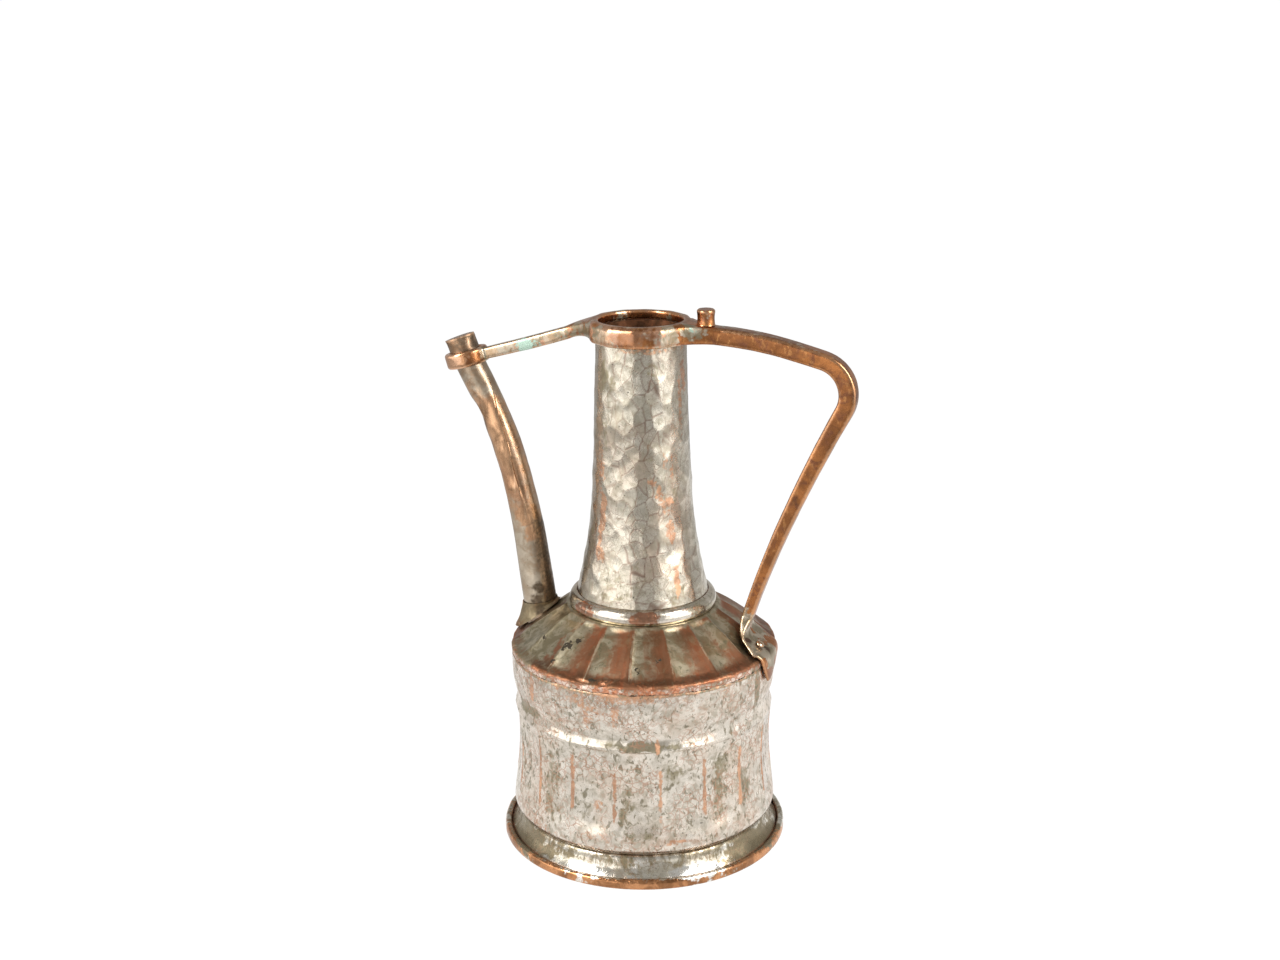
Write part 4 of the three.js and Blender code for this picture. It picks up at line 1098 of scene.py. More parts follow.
def paintShoulder(piece):
    # brown fields with a tinned strip beside each ridge, a painted highlight on each ridge, and painted
    # shade towards the rim and along the hem's lower edge
    points = pointsAndNormals(piece)[0]
    turn, reach = turnAndReach(points)
    height = points[:, 2]
    flat = points.copy()
    flat[:, 2] = reach  # patches on the slope are placed by their distance from the axis
    way, ridge = fluteWay(turn, shoulder["fluteStart"])
    ragged = 0.10 * layeredNoise(points, 7, 231) + 0.06 * layeredNoise(points, 2, 233, 2)
    start, end, strength = ridgeValues(ridge, 7)
    slope = rise(reach, 42, 45) * (1 - rise(reach, 70, 71.5))
    fade = np.clip((way + ragged * 0.6 - 0.16 - 0.12 * end) / (0.42 + 0.2 * start), 0, 1)
    strip = rise(way + ragged * 0.2, 0.0, 0.05) * (1 - fade)
    tin = np.maximum(strip * (0.8 + 0.2 * strength), wearStainAndLightPatches(flat, shoulderPaint["tin"], 241))
    leftLobes = bell(np.degrees(turn), -142, 20)
    tin = tin * (1 - 0.75 * (1 - 0.7 * leftLobes) * rise(reach + 2 * ragged, 63, 69.5))
    tin = np.maximum(tin, 1 - rise(reach, 41, 44.5 + 2 * softNoise(points, 6, 243)))
    away = np.minimum(way, 1 - way) * reach * 2 * math.pi / fluteCount
    # painted highlight: a pale line on each ridge
    ridgeLine = (1 - rise(away, 0.3, 1.0)) * slope * (0.5 + 0.5 * softNoise(points, 9, 245))
    hem = 1 - rise(height + 0.7 * layeredNoise(points, 4, 247), 111.2, 112.6)
    fold = rise(height + 0.5 * softNoise(points, 3, 248), 110.4, 111.6) * rise(reach, 70.6, 71.8)
    copper = wearStainAndLightPatches(points, drumPaint["copper"], 201)  # the drum's patches run on over the hem
    copper = np.maximum(copper, fold * (0.34 + 0.4 * softNoise(points, 6, 250)))
    lumps = bell(np.degrees(turn), -98, 13) * rise(softNoise(points, 2.6, 254), 0.0, 0.5)
    copper = copper * (1 - 0.8 * lumps * rise(reach, 70.6, 71.6))
    streaks = np.stack([turn * 60 / 1.5, reach / 9, 0 * turn], 1)  # long down the slope, narrow across it
    # painted shade along the hem's lower edge, carried by the dark share
    under = (1 - rise(height + 0.2 * softNoise(points, 3, 252), 108.9, 109.5)) * rise(reach, 70, 71)
    paintOn(
        piece,
        fold=fold,
        rim=rise(reach + 3 * ragged, 62, 69) * (1 - fold),
        streak=0.5 + 0.5 * layeredNoise(streaks, 1, 235, 2),
        tin=tin,
        ridge=np.clip(ridgeLine, 0, 1),
        dark=np.maximum(wearStainAndLightPatches(flat, shoulderPaint["pits"], 249), 0.9 * under),
        hem=hem * rise(reach, 71, 72),
        copper=copper,
    )


shoulderSheet = makeShoulder()
paintShoulder(shoulderSheet)
dress(shoulderSheet, wornFinish("shoulder_worn", shoulderLook), "worn_copper", "shoulder")
print("shoulder ready")

# Neck
neck = {
    "sheet": 1.0,
    "columns": 352,
    "footRadius": 37.0,
    "topRadius": 23.8,
    "taper": 0.03,
    "flareLength": 33.5,
    "flarePower": 1.5,
    "girth": 2 * math.pi * 27,
    "hammer": {
        "blow": (5.4, 7.4), "jitter": 0.85, "tilt": 0.11,
        "roundX": 29, "roundZ": 62, "uneven": 0.05, "seam": 0.056,
    },
    "dents": [
        (-40, 170, 4.5, 0.9), (-47, 176, 5, -0.35), (-33, 163, 6, -0.4), (-96, 214, 7, 0.35),
        (-100, 238, 8, -0.3), (-56, 205, 8, 0.4), (-92, 176, 9, -0.3), (-38, 232, 8, 0.3),
        (-42, 262, 9, -0.3), (-20, 190, 8, 0.5),
    ],
}
neckPaint = {
    "copper": [
        (-38.9, 156, 2.2, 11, 0.95), (-39, 182, 3.4, 7, 0.75), (-51, 203, 3, 7, 0.7),
        (-43, 197, 4, 6, 0.75), (-61, 209, 4, 4, 0.65), (-122, 187, 3, 18, 0.8),
        (-125.7, 210, 3, 16, 0.55), (-8.8, 264, 3.5, 16, 0.8), (-18, 250, 2.4, 22, 0.7),
        (-121, 168, 4, 6, 0.7), (-35.5, 213, 2, 10, 0.5), (-45, 221, 2, 8, 0.5),
        (-62, 279, 20, 2, 0.5), (60, 180, 5, 24, 0.7), (140, 230, 4, 30, 0.7),
        (100, 150, 8, 10, 0.7),
    ],
    # olive stains and pale tin. Many are painted light: dark ones laid to dim a highlight are painted
    # shade, and pale ones below 0 are painted highlights
    "stain": [
        (-127, 262, 6, 12, 0.75), (-110, 261, 3, 7, 0.7), (-89, 155, 3, 5, 0.5),
        (-59, 269, 5, 5, 0.65), (-66, 216, 7, 22, 0.5), (-70, 165, 9, 12, 0.4),
        (-140, 180, 6, 34, 0.5), (-62, 280, 24, 4, 0.6), (80, 240, 14, 20, 0.7),
        (-40, 205, 8, 22, 0.4), (-108, 246, 9, 12, 0.35), (-104, 222, 8, 5, -0.6),
        (-98, 180, 9, 16, -0.6), (-40, 262, 7, 12, -0.8), (-46, 172, 5, 5, -1.0),
        (-34, 161, 4, 9, -0.8), (-100, 150, 10, 8, 0.55), (-42, 147, 8, 7, 0.5),
        (-97, 268, 3, 9, -0.7), (-2, 225, 6, 44, -1.0), (-97, 152, 12, 10, 0.62),
        (-38, 148, 8, 8, 0.5), (-118, 240, 6, 30, 0.45), (170, 170, 10, 30, 0.6),
    ],
}
neckLook = {
    **tinLook,
    "light": (214, 206, 190), "grey": (188, 180, 162), "warm": (200, 180, 160), "bright": (226, 218, 202),
    "dishes": 0.4, "mottles": 0.5, "strokes": 0.4, "strokeFrom": 0.59,
    "strokeDeep": 0.02, "strokeStretch": 0.35,
    "craze": 0.3, "crazeTone": (136, 104, 88), "seams": 0.86, "rough": 0.31,
}


def neckRadius(height):
    # straight taper plus a flare that dies away with a power of the height
    low, top = neckLow[2], neckHigh[2]
    flare = neck["footRadius"] - neck["topRadius"] - neck["taper"] * (top - low)
    way = np.maximum(height - low, 0) / neck["flareLength"]
    return neck["topRadius"] + neck["taper"] * (top - height) + flare * np.exp(-(way ** neck["flarePower"]))


def neckMarks(points, turn):
    # the rows of blows are bent by a noise, so that the seams between them curve
    across = turn / (2 * math.pi) + 1.5 * softNoise(points, 5.5, 35) / neck["girth"]
    up = points[..., 2] + 1.7 * softNoise(points, 5.5, 36)
    return hammerMarks(across, up, neck["girth"], neck["hammer"], 31)


def makeNeck():
    angles = turnedAngles(neck["columns"])
    height = np.linspace(neckLow[2], neckHigh[2], 400)
    line = evenly(np.stack([neckRadius(height), height], 1), 0.64)
    radius, height = line[:, :1], line[:, 1:]
    place = ring(radius, height, angles)
    marks = neckMarks(place, angles)[0]
    ends = rise(height, neckLow[2], neckLow[2] + 4) * (1 - rise(height, 284, neckHigh[2]))
    marks = (2 * marks + np.roll(marks, 1, 1) + np.roll(marks, -1, 1)) / 4
    marks[1:-1] = (marks[:-2] + 2 * marks[1:-1] + marks[2:]) / 4
    lift = ends * (0.95 * marks - 0.12 + 0.36 * layeredNoise(place, 15, 33))
    lift = lift + 0.02 * layeredNoise(place, 2.6, 34, 2)
    lift = lift - ends * dented(place, angles, radius, neck["dents"])
    return makePiece("neck_tube", [closedMesh(sheetShell(line, neck["sheet"], angles, lift, 9))])


def paintNeck(piece):
    points, normals = pointsAndNormals(piece)
    turn = turnAndReach(points)[0]
    seam, own = neckMarks(points - [axisX, 0, 0], turn)[1:]
    # painted shade: olive on the lowest few millimetres, in the corner above the moulding ring
    low = 1 - rise(points[:, 2] + 2 * softNoise(points, 6, 257), neckLow[2] + 2, neckLow[2] + 8)
    stain = wearStainAndLightPatches(points, neckPaint["stain"], 253)
    middle = 0.5 + 0.5 * bell(np.degrees(turn), -70, 24)  # the seams show most in the middle of the picture
    seam = seam * rise(softNoise(points, 14, 255), -0.8, 0.0) * middle
    paintOn(
        piece,
        dish=own,
        copper=wearStainAndLightPatches(points, neckPaint["copper"], 251),
        stain=np.where(np.abs(stain) > 0.45 * low, stain, 0.45 * low),
        seam=seam,
        inside=insideShare(points, normals),
    )


neckTube = makeNeck()
paintNeck(neckTube)
dress(neckTube, tinFinish("neck_tin", neckLook), "tinned_copper", "neck")
print("neck ready")

# Moulding ring round the foot of the neck
neckRing = {
    "columns": 360,
    "gap": 0.3,  # between it and the neck
    "bead": [(-0.5, 0), (-0.1, 1.0), (0, 2.2), (-0.2, 3.8), (-0.9, 5.4)],  # from its widest and lowest
}
ringPaint = {
    "copper": [
        (-72, 138, 10, 4, 0.95), (-126, 138, 10, 5, 0.8), (-28, 138, 6, 4, 0.5),
        (60, 138, 20, 5, 0.6), (170, 138, 16, 5, 0.6),
    ],
    # the pale marks at -98 and -46 degrees are painted highlights; the others are olive
    "stain": [
        (-18, 138, 14, 6, 0.8), (-148, 138, 12, 6, 0.8), (-98, 137.5, 9, 4, -1.1),
        (-46, 137.5, 10, 4, -1.1), (100, 138, 20, 6, 0.7),
    ],
}
ringLook = {
    **neckLook,
    "light": (222, 212, 196), "bright": (248, 238, 224), "dishes": 0.3, "mottles": 0.2, "rough": 0.24,
    "copperDark": (146, 96, 66), "copperLight": (178, 116, 82),
}


def makeNeckRing():
    low, high, out = ringLow[2], ringHigh[2], (ringHigh[0] - ringLow[0]) / 2
    inner, tip = neck["footRadius"] + neckRing["gap"], neckRadius(high)
    bead = [(out + wide, low + up) for wide, up in neckRing["bead"]]
    outline = chain(
        curveThrough([(inner, low), bead[0]], 0.6),
        curveThrough(bead + [(out - 2.1, high - 0.9), (tip + 1.1, high - 0.3), (tip + 0.12, high)], 0.5),
        curveThrough([(tip + 0.12, high), (inner, low + 1.5), (inner, low)], 0.9),
    )[:-1]
    radius, height = outline[:, :1], outline[:, 1:]
    angles = turnedAngles(neckRing["columns"])
    place = ring(radius, height, angles)
    wobble = 0.16 * layeredNoise(place, 12, 81) + 0.05 * layeredNoise(place, 4, 82, 2)
    outside = rise(radius, inner + 0.2, inner + 1.4) * rise(height, low, low + 1)
    radius = radius + (wobble - 0.06) * outside
    return makePiece("moulding_ring", [closedMesh(ring(radius, height, angles))])


def paintNeckRing(piece):
    points, normals = pointsAndNormals(piece)
    paintOn(
        piece,
        copper=wearStainAndLightPatches(points, ringPaint["copper"], 261),
        stain=wearStainAndLightPatches(points, ringPaint["stain"], 263),
        seam=0,
        dish=0.5 + 0.5 * softNoise(points, 6, 265),
        inside=insideShare(points, normals),
    )


ringBand = makeNeckRing()
paintNeckRing(ringBand)
dress(ringBand, tinFinish("ring_tin", ringLook), "tinned_copper", "neck_ring")
print("moulding ring ready")


# Bars: a rounded rectangle carried along a line in the handle's plane
def barGrid(line, thickness, width, wrap, aside, around, squareness):
    # section point = centre + normal * up * thickness / 2, sideways by width / 2, both bent by the power
    # that makes a circle square; wrap bends the sideways part round the vessel's axis
    turn = turnedAngles(around)
    power = 2 / squareness
    side = np.sign(np.cos(turn)) * np.abs(np.cos(turn)) ** power
    up = np.sign(np.sin(turn)) * np.abs(np.sin(turn)) ** power
    slope = tangents(line)
    side = side * width[:, None] / 2 + aside[:, None]
    up = up * thickness[:, None] / 2
    radius = line[:, :1] - slope[:, 1:] * up
    height = line[:, 1:] + slope[:, :1] * up
    angle = side / line[:, :1]
    flat = np.stack([radius, side], -1)
    bent = np.stack([radius * np.cos(angle), radius * np.sin(angle)], -1)
    mixed = flat * (1 - wrap[:, None, None]) + bent * wrap[:, None, None]
    return np.concatenate([mixed, height[..., None]], -1)


def along(stretches):
    # lines that follow each other; thickness, width, wrap and shift each go from start to end by a power
    lines, sizes = [], []
    for index, (line, *ends) in enumerate(stretches):
        share = np.linspace(0, 1, len(line))
        columns = [start + (end - start) * (1 - (1 - share) ** power) for start, end, power in ends]
        keep = slice(0 if index == 0 else 1, None)
        lines.append(line[keep])
        sizes.append(np.stack(columns, 1)[keep])
    return np.vstack(lines), np.vstack(sizes).T


def tilted(grid, lean, place):
    # a grid turned about y by lean in radians, then moved to a distance and a height
    x = grid[..., 0] * math.cos(lean) + grid[..., 2] * math.sin(lean)
    z = -grid[..., 0] * math.sin(lean) + grid[..., 2] * math.cos(lean)
    return np.stack([x + place[0], grid[..., 1], z + place[1]], -1)


# Mouth casting: collar, handle with its leaf, brace and spout ring
casting = {
    "voxel": 0.5,
    "spacing": 0.6,
    "mouthRadius": 22.4,
    "collarRadius": 28.6,
    "collarHeight": 11.2,
    "collarBevel": 2.2,
    "collarSeat": 24.3,
    "facets": 12,
    "facetStart": 9.6,
    "rootWidth": 25,
    "rootReach": (20, -1.2),
    "barWidth": 10,
    "armThickness": (11.4, 9.4, 9.0),
    "bendThickness": 9.6,
    "footThickness": 6.2,
    "bendRadius": 18.4,
    "bendDrop": 34.6,
    "armSlope": 15,
    "legSlope": 27.5,
    "footRadius": 58.4,
    "footSlope": 17,
    "leafThickness": 2.0,
    "leafGap": 0.3,  # between the leaf and the shoulder
    "leafWidths": (27, 32, 27, 3.4),
    "leafSides": (-0.9, -3.2, -4.0, -9.0),  # how far its middle lies to the camera's side
    "tabTop": 110.6,
    "tabLength": 11.5,
    "braceThickness": (10.4, 7.1, 6.5),
    "braceWidth": 6.4,
    "braceLength": 16,
    "ringDistance": 99.5,
    "ringHeight": 265.3,
    "ringTilt": 15,
    "ringDepth": 8.6,
    "ringRadius": 11.9,
    "ringBore": 8.95,
}
castingPaint = {
    "topTin": 0.35,  # tin on faces that look up
    "tin": [
        (-12, -26, 284, 9, 0.5), (-20, -20, 281, 7, 0.45), (12, -26, 284, 8, 0.4),
        (-112, -10, 264, 5, 0.5), (-84, -3, 270, 9, 0.8), (-72, -3, 273, 9, 0.6),
        (-60, -3, 277, 9, 0.8), (-48, -4, 280, 9, 0.75), (-36, -8, 284, 9, 0.85),
        (-29, -12, 284, 8, 1.0), (-17, -22, 286, 7, 0.8), (21, -18, 286, 8, 0.9),
        (30, -11, 288, 7, 0.75), (36, -8, 289, 5, 0.6), (60, -8, 128, 10, 0.85),
        (66, -10, 120, 13, 0.95), (72, -6, 112, 9, 0.9), (62, 8, 124, 12, 0.8),
        (-112, 6, 262, 8, 0.6), (-20, 20, 286, 10, 0.8), (10, 27, 286, 9, 0.8),
    ],
    # dark spots; those at the handle's leaf and ankle (x 61 to 72) and on the right front of the spout ring
    # (-91) are painted shade
    "dark": [
        (107, -5, 240, 3, 0.5), (110, -5, 250, 3, 0.45), (62.5, -12, 121, 2.6, 1.1),
        (61, -14, 118, 2, 0.8), (64, -13, 124, 1.6, 0.8), (71.5, -6, 115, 3, 0.8),
        (86, -5, 200, 3, 0.5), (-91, -5, 266, 4, 0.5), (60, -5, 275, 5, 0.4),
        (88, -5, 271, 4, 0.5), (-91, -9, 264, 5, 0.35),
    ],
    "green": [
        (-64, -3.5, 274, 6, 0.9), (-58, -3, 276, 4, 0.55), (44, 3, 291, 5, 0.5),
        (31, -10, 289, 3, 0.55),
    ],
    # painted highlights in the edge colour
    "pale": [
        (-104, -11, 264, 8, 1.6), (-84, -4, 268, 5, 0.5), (-50, -4, 277, 5, 0.4),
        (-13, -26, 284, 7, 0.5), (-18, -22, 282, 5, 0.4), (22, -18, 284, 5, 0.3),
    ],
    # painted highlights in a pink tone on the collar, the brace and the front of the spout ring
    "pink": [
        (-14, -25, 286, 13, 0.72), (4, -28, 286, 10, 0.42), (20, -20, 286, 10, 0.7),
        (-105, -11, 265, 9.5, 2.2), (-60, -4, 276, 26, 0.8), (-30, -10, 284, 12, 0.45),
    ],
}
castingLook = {
    "brown": (144, 94, 59), "orange": (190, 124, 74), "plum": (134, 88, 68), "gold": (226, 164, 104),
    "tinDark": (154, 141, 116), "tinLight": (200, 186, 165), "ragged": 1.2,
    "greyFrom": (0.38, 0.66), "greyTones": (0.42, 0.58),
    # edge is the colour of rubbed edges and of painted highlights; pink is the colour of painted highlights
    "edge": (240, 192, 150), "shine": 0.34, "pink": (226, 182, 154), "verdigris": (168, 192, 176),
    "sootAndShade": (74, 54, 40), "sootFrom": (0.55, 0.80), "specks": 0.4,
    "scratch": (1, 1, 0.5), "streak": (140, 92, 62), "streaks": 0.35, "streakSize": 2.6,
    "rough": 0.3,
}


def collarMiddle():
    # the middle of the collar's wall, where the handle and the brace start
    flat = casting["collarRadius"] * math.cos(math.pi / casting["facets"])
    return (casting["mouthRadius"] + flat) / 2, castHigh[2] - casting["collarHeight"] / 2


def leafMiddle(radius):
    # height of the middle of the leaf's sheet above the shoulder
    lift = casting["leafGap"] + casting["leafThickness"] / 2
    return shoulderHeight(radius) + lift / np.cos(shoulderLean(radius))


def handleLine():
    spacing = casting["spacing"]
    legWay, footWay = -90 - casting["legSlope"], casting["footSlope"]
    outside = castHigh[0] - axisX - casting["bendThickness"] / 2
    centre = (outside - casting["bendRadius"], castHigh[2] - casting["bendDrop"])
    bend = arcLine(centre, casting["bendRadius"], 90 - casting["armSlope"], -casting["legSlope"], spacing)
    wall, middle = collarMiddle()
    rootStart = np.array([wall, middle - 0.2])
    rootEnd = rootStart + casting["rootReach"]
    root = evenly([rootStart, rootEnd], spacing)
    pull = (bend[0, 0] - rootEnd[0]) * 0.4
    arm = easedCurve(rootEnd, -4, bend[0], 180 - casting["armSlope"], (pull, pull), spacing)
    leafX = casting["footRadius"] + 3.4
    leafStart = np.array([leafX, leafMiddle(leafX)])
    legEnd = np.array([casting["footRadius"] + 1.6, leafStart[1] + 9.5])
    pull = np.linalg.norm(bend[-1] - legEnd) * 0.32
    leg = easedCurve(bend[-1], legWay, legEnd, 90 - footWay, (pull, pull), spacing)
    leafWay = 180 - math.degrees(shoulderLean(leafX))
    ankle = easedCurve(legEnd, -90 - footWay, leafStart, leafWay, (5.5, 3.4), 0.4)
    radius = np.linspace(leafX, rimRadius - 3, 30)
    leafTop = evenly(np.stack([radius, leafMiddle(radius)], 1), spacing)
    tabRadius = rimRadius + casting["leafGap"] + casting["leafThickness"] / 2
    tabStart = np.array([tabRadius, casting["tabTop"]])
    corner = np.array([tabRadius, leafTop[-1, 1] - 0.6])
    fromLeaf = leafTop[-1] + (corner - leafTop[-1]) * 0.67
    fold = bezier([leafTop[-1], fromLeaf, tabStart + (corner - tabStart) * 0.67, tabStart], 0.4)
    tab = evenly([tabStart, tabStart - [0, casting["tabLength"]]], spacing)
    t1, t2, t3 = casting["armThickness"]
    t4, t5, t6 = casting["bendThickness"], casting["footThickness"], casting["leafThickness"]
    w0, w1 = casting["rootWidth"], casting["barWidth"]
    w2, w3, w4, w5 = casting["leafWidths"]
    s1, s2, s3, s4 = casting["leafSides"]
    return along([
        (root, (t1, t2, 2), (w0, w1 + 1, 2), (0, 0, 1), (0, 0, 1)),
        (arm, (t2, t3, 1), (w1 + 1, w1, 1), (0, 0, 1), (0, 0, 1)),
        (bend, (t3, t4, 1), (w1, w1, 1), (0, 0, 1), (0, 0, 1)),
        (leg, (t4, t5, 1), (w1, w1, 1), (0, 0, 1), (0, 0, 1)),
        (ankle, (t5, t6, 1), (w1, w2, 1), (0, 1, 1), (0, s1, 1)),
        (leafTop, (t6, t6, 1), (w2, w3, 1), (1, 1, 1), (s1, s2, 1)),
        (fold, (t6, t6, 1), (w3, w4, 1), (1, 1, 1), (s2, s3, 1)),
        (tab, (t6, t6 * 0.7, 1), (w4, w5, 1), (1, 1, 1), (s3, s4, 1)),
    ])


def braceLine():
    spacing, length, tilt = casting["spacing"], casting["braceLength"], casting["ringTilt"]
    wall, middle = collarMiddle()
    start = np.array([-wall, middle - 0.1])
    rootEnd = start + [-length, -4.1]
    end = stepFrom((-casting["ringDistance"], casting["ringHeight"]), tilt, casting["ringBore"] + 1.2)
    first, second = start + [-length * 0.4, -0.53], start + [-length * 0.733, -1.9]
    root = bezier([start, first, second, rootEnd], spacing)
    pull = np.linalg.norm(rootEnd - end) * 0.35
    rod = easedCurve(rootEnd, 198, end, tilt, (pull, pull), spacing)
    t1, t2, t3 = casting["braceThickness"]
    wide = casting["braceWidth"]
    return along([
        (root, (t1, t2, 2), (casting["rootWidth"], wide, 2), (0, 0, 1), (0, 0, 1)),
        (rod, (t2, t3, 1), (wide, wide, 1), (0, 0, 1), (0, 0, 1)),
    ])


def collarGrid():
    # radius of a polygon with eased corners, blended to a circle towards the bore
    top = castHigh[2]
    base = top - casting["collarHeight"]
    out, bore = casting["collarRadius"], casting["mouthRadius"]
    bevel, seat = casting["collarBevel"], casting["collarSeat"]
    outline = evenly([
        # radius, height, share of the polygon
        (seat, base, 0), (out - 1.6, base, 0.7), (out - 0.4, base + 0.5, 1), (out, base + 1.3, 1),
        (out, top - bevel, 1), (out - 0.35, top - bevel + 0.5, 1), (out - bevel * 0.9, top - 0.25, 0.8),
        (out - bevel - 0.5, top, 0.6), (bore + 0.8, top, 0), (bore + 0.15, top - 0.4, 0),
        (bore, top - 1.2, 0), (bore, top - 4.7, 0), (seat, top - 5.0, 0),
    ], 0.7)
    angles = turnedAngles(360)
    pitch = 2 * math.pi / casting["facets"]
    inFacet = np.mod(angles - math.radians(casting["facetStart"]), pitch) - pitch / 2
    polygon = math.cos(pitch / 2) / np.cos(inFacet)
    share = outline[:, 2:]
    return ring(outline[:, :1] * (1 - share + share * polygon), outline[:, 1:2], angles)


def spoutRingGrid():
    # a ring with flat faces and eased edges, tilted and set at the end of the brace
    half, out, bore = casting["ringDepth"] / 2, casting["ringRadius"], casting["ringBore"]
    outline = evenly([
        (bore, -half), (out - 1.2, -half), (out - 0.3, -half + 0.5), (out, -half + 1.4), (out, half - 1.4),
        (out - 0.3, half - 0.5), (out - 1.2, half), (bore, half), (bore, -half),
    ], 0.5)[:-1]
    grid = ring(outline[:, :1], outline[:, 1:], turnedAngles(96))
    place = (-casting["ringDistance"], casting["ringHeight"])
    return tilted(grid, math.radians(-casting["ringTilt"]), place)


def fused(piece, voxel):
    # overlapping closed surfaces become one skin
    modifier = piece.modifiers.new("fuse", "REMESH")
    modifier.mode = "VOXEL"
    modifier.voxel_size = voxel * mm
    modifier.use_smooth_shade = True
    bpy.context.view_layer.update()
    graph = bpy.context.evaluated_depsgraph_get()
    skin = bpy.data.meshes.new_from_object(piece.evaluated_get(graph))
    piece.modifiers.clear()
    piece.data = skin


def movePoints(piece, points):
    piece.data.vertices.foreach_set("co", (points * mm).astype(np.float32).ravel())
    piece.data.update()


def eased(piece, rounds, weights):
    # each vertex moves part of the way to the mean of its neighbours
    points, edges = pointsAndNormals(piece)[0], meshEdges(piece)
    share = weights(points)
    for _ in range(rounds):
        points = points + (neighbourMean(points, edges, len(points)) - points) * share
    movePoints(piece, points)


def nearRoots(points):
    # where the handle and the brace leave the collar
    radius = np.hypot(points[:, :1] - axisX, points[:, 1:2])
    return 0.6 * rise(radius, 26.5, 29) * (1 - rise(radius, 40, 50)) * rise(points[:, 2:], 270, 275)


def makeCasting():
    handle, handleSizes = handleLine()
    brace, braceSizes = braceLine()
    piece = makePiece("mouth_and_handle", [
        closedMesh(barGrid(handle, *handleSizes, 96, 6.0), "poles"),
        closedMesh(barGrid(brace, *braceSizes, 64, 5.0), "poles"),
        closedMesh(collarGrid()),
        closedMesh(spoutRingGrid()),
    ])
    fused(piece, casting["voxel"])
    eased(piece, 3, lambda points: 0.5)
    eased(piece, 22, nearRoots)
    points, normals = pointsAndNormals(piece)
    lift = 0.14 * layeredNoise(points, 9, 101) + 0.03 * layeredNoise(points, 2.2, 102, 2)
    movePoints(piece, points + normals * lift[:, None])
    shade(piece, 60)
    return piece


dabSeeds = {"tin": 0, "dark": 2, "green": 4, "pale": 6, "pink": 8}  # added to the seed of a piece


def paintForged(piece, paint, seed):
    # patches, tin on what looks up, and rubbed where the surface stands out; the pale and pink patches are
    # painted highlights, and some dark ones painted shade
    points, normals = pointsAndNormals(piece)
    patch = {key: dabs(points, paint.get(key, []), seed + n) for key, n in dabSeeds.items()}
    onTop = paint["topTin"] * rise(normals[:, 2], 0.55, 0.85)
    rub = standingOut(piece, 2, 0.45) + patch["pale"]
    tin = np.maximum(patch["tin"], onTop)
    paintOn(piece, rub=rub, tin=tin, dark=patch["dark"], green=patch["green"], pink=patch["pink"])


castingPiece = makeCasting()
paintForged(castingPiece, castingPaint, 301)
dress(castingPiece, copperFinish("casting_copper", castingLook), "bare_copper", "mouth_and_handle_casting")
print("casting ready")

# Spout: rolled tube with a lapped seam
spout = {
    "wall": 1.0,
    "around": 96,
    "spacing": 0.55,
    "rootDistance": 59.6,
    "rootLean": 8,
    "rootRadius": 9.4,
    "rootDepth": 6.5,  # how far it reaches in below the shoulder
    "kneeDistance": 73.6,
    "kneeHeight": 205,
    "kneeLean": 15,
    "upperRadius": 8.3,
    "tipLength": 12,
    "tipLean": 19,
    "lap": 0.7,
    "lapTurn": [
        (120, -45), (175, -53), (190, -65), (202, -72), (215, -65), (237, -50), (250, -18),
        (262, -10), (290, -8),
    ],  # height, degrees round
    "dents": [  # degrees round, height, reach, depth
        (-135, 238, 7, 2.0), (-120, 222, 5, 0.7), (-100, 203, 6, 0.8), (-80, 150, 8, 0.5),
        (-70, 250, 6, 0.6),
    ],
}
spoutPaint = {
    "lowCopper": [(-63, -8, 180, 8, 1.0), (-61, -7, 170, 6, 0.9)],
    "rootDark": [(-58, -8, 138, 4, 1.0), (-59, -8, 131, 5, 1.0), (-56, -6, 128, 5, 0.9)],
    # pale: painted highlights down the front of the bend
    "pale": [(-84, -6, 225, 5, 0.5), (-83, -6, 214, 4, 0.45), (-97, -8, 250, 5, 0.4)],
}
spoutLook = {
    **castingLook,
    "brown": (196, 150, 116), "orange": (224, 176, 136), "plum": (158, 122, 92), "gold": (236, 200, 164),
    "tinDark": (178, 162, 140), "tinLight": (214, 199, 178), "ragged": 0.6,
    "greyFrom": (0.15, 0.95), "greyTones": (0.32, 0.70), "shine": 0.3,
    "sootAndShade": (84, 70, 54), "sootFrom": (0.55, 1.25),
    "scratch": (1, 1, 0.14), "streak": (150, 116, 88), "streaks": 0.6, "streakSize": 2.2,
}


def spoutPlaces():
    # the spout's middle at the shoulder, at the knee and in the ring
    root = np.array([-spout["rootDistance"], shoulderHeight(spout["rootDistance"])])
    knee = np.array([-spout["kneeDistance"], spout["kneeHeight"]])
    return root, knee, np.array([-casting["ringDistance"], casting["ringHeight"]])


def spoutLine():
    root, knee, band = spoutPlaces()
    spacing, tipLean = spout["spacing"], spout["tipLean"]
    rootWay, kneeWay = 90 + spout["rootLean"], 90 + spout["kneeLean"]
    start = stepFrom(root, rootWay - 180, spout["rootDepth"])
    lowPull = np.linalg.norm(knee - root) * 0.35
    highPull = np.linalg.norm(band - knee) * 0.36
    return chain(
        evenly([start, root], spacing),
        easedCurve(root, rootWay, knee, kneeWay - 180, (lowPull, lowPull), spacing),
        easedCurve(knee, kneeWay, band, tipLean - 82, (highPull, highPull), spacing),
        evenly([band, stepFrom(band, 90 + tipLean, spout["tipLength"])], 0.45),
    )


def spoutGrid(line, reach, angles):
    slope = tangents(line)
    across = reach * np.cos(angles)
    x, z = line[:, :1] + across * slope[:, 1:], line[:, 1:] - across * slope[:, :1]
    return np.stack([x, reach * np.sin(angles), z], -1)


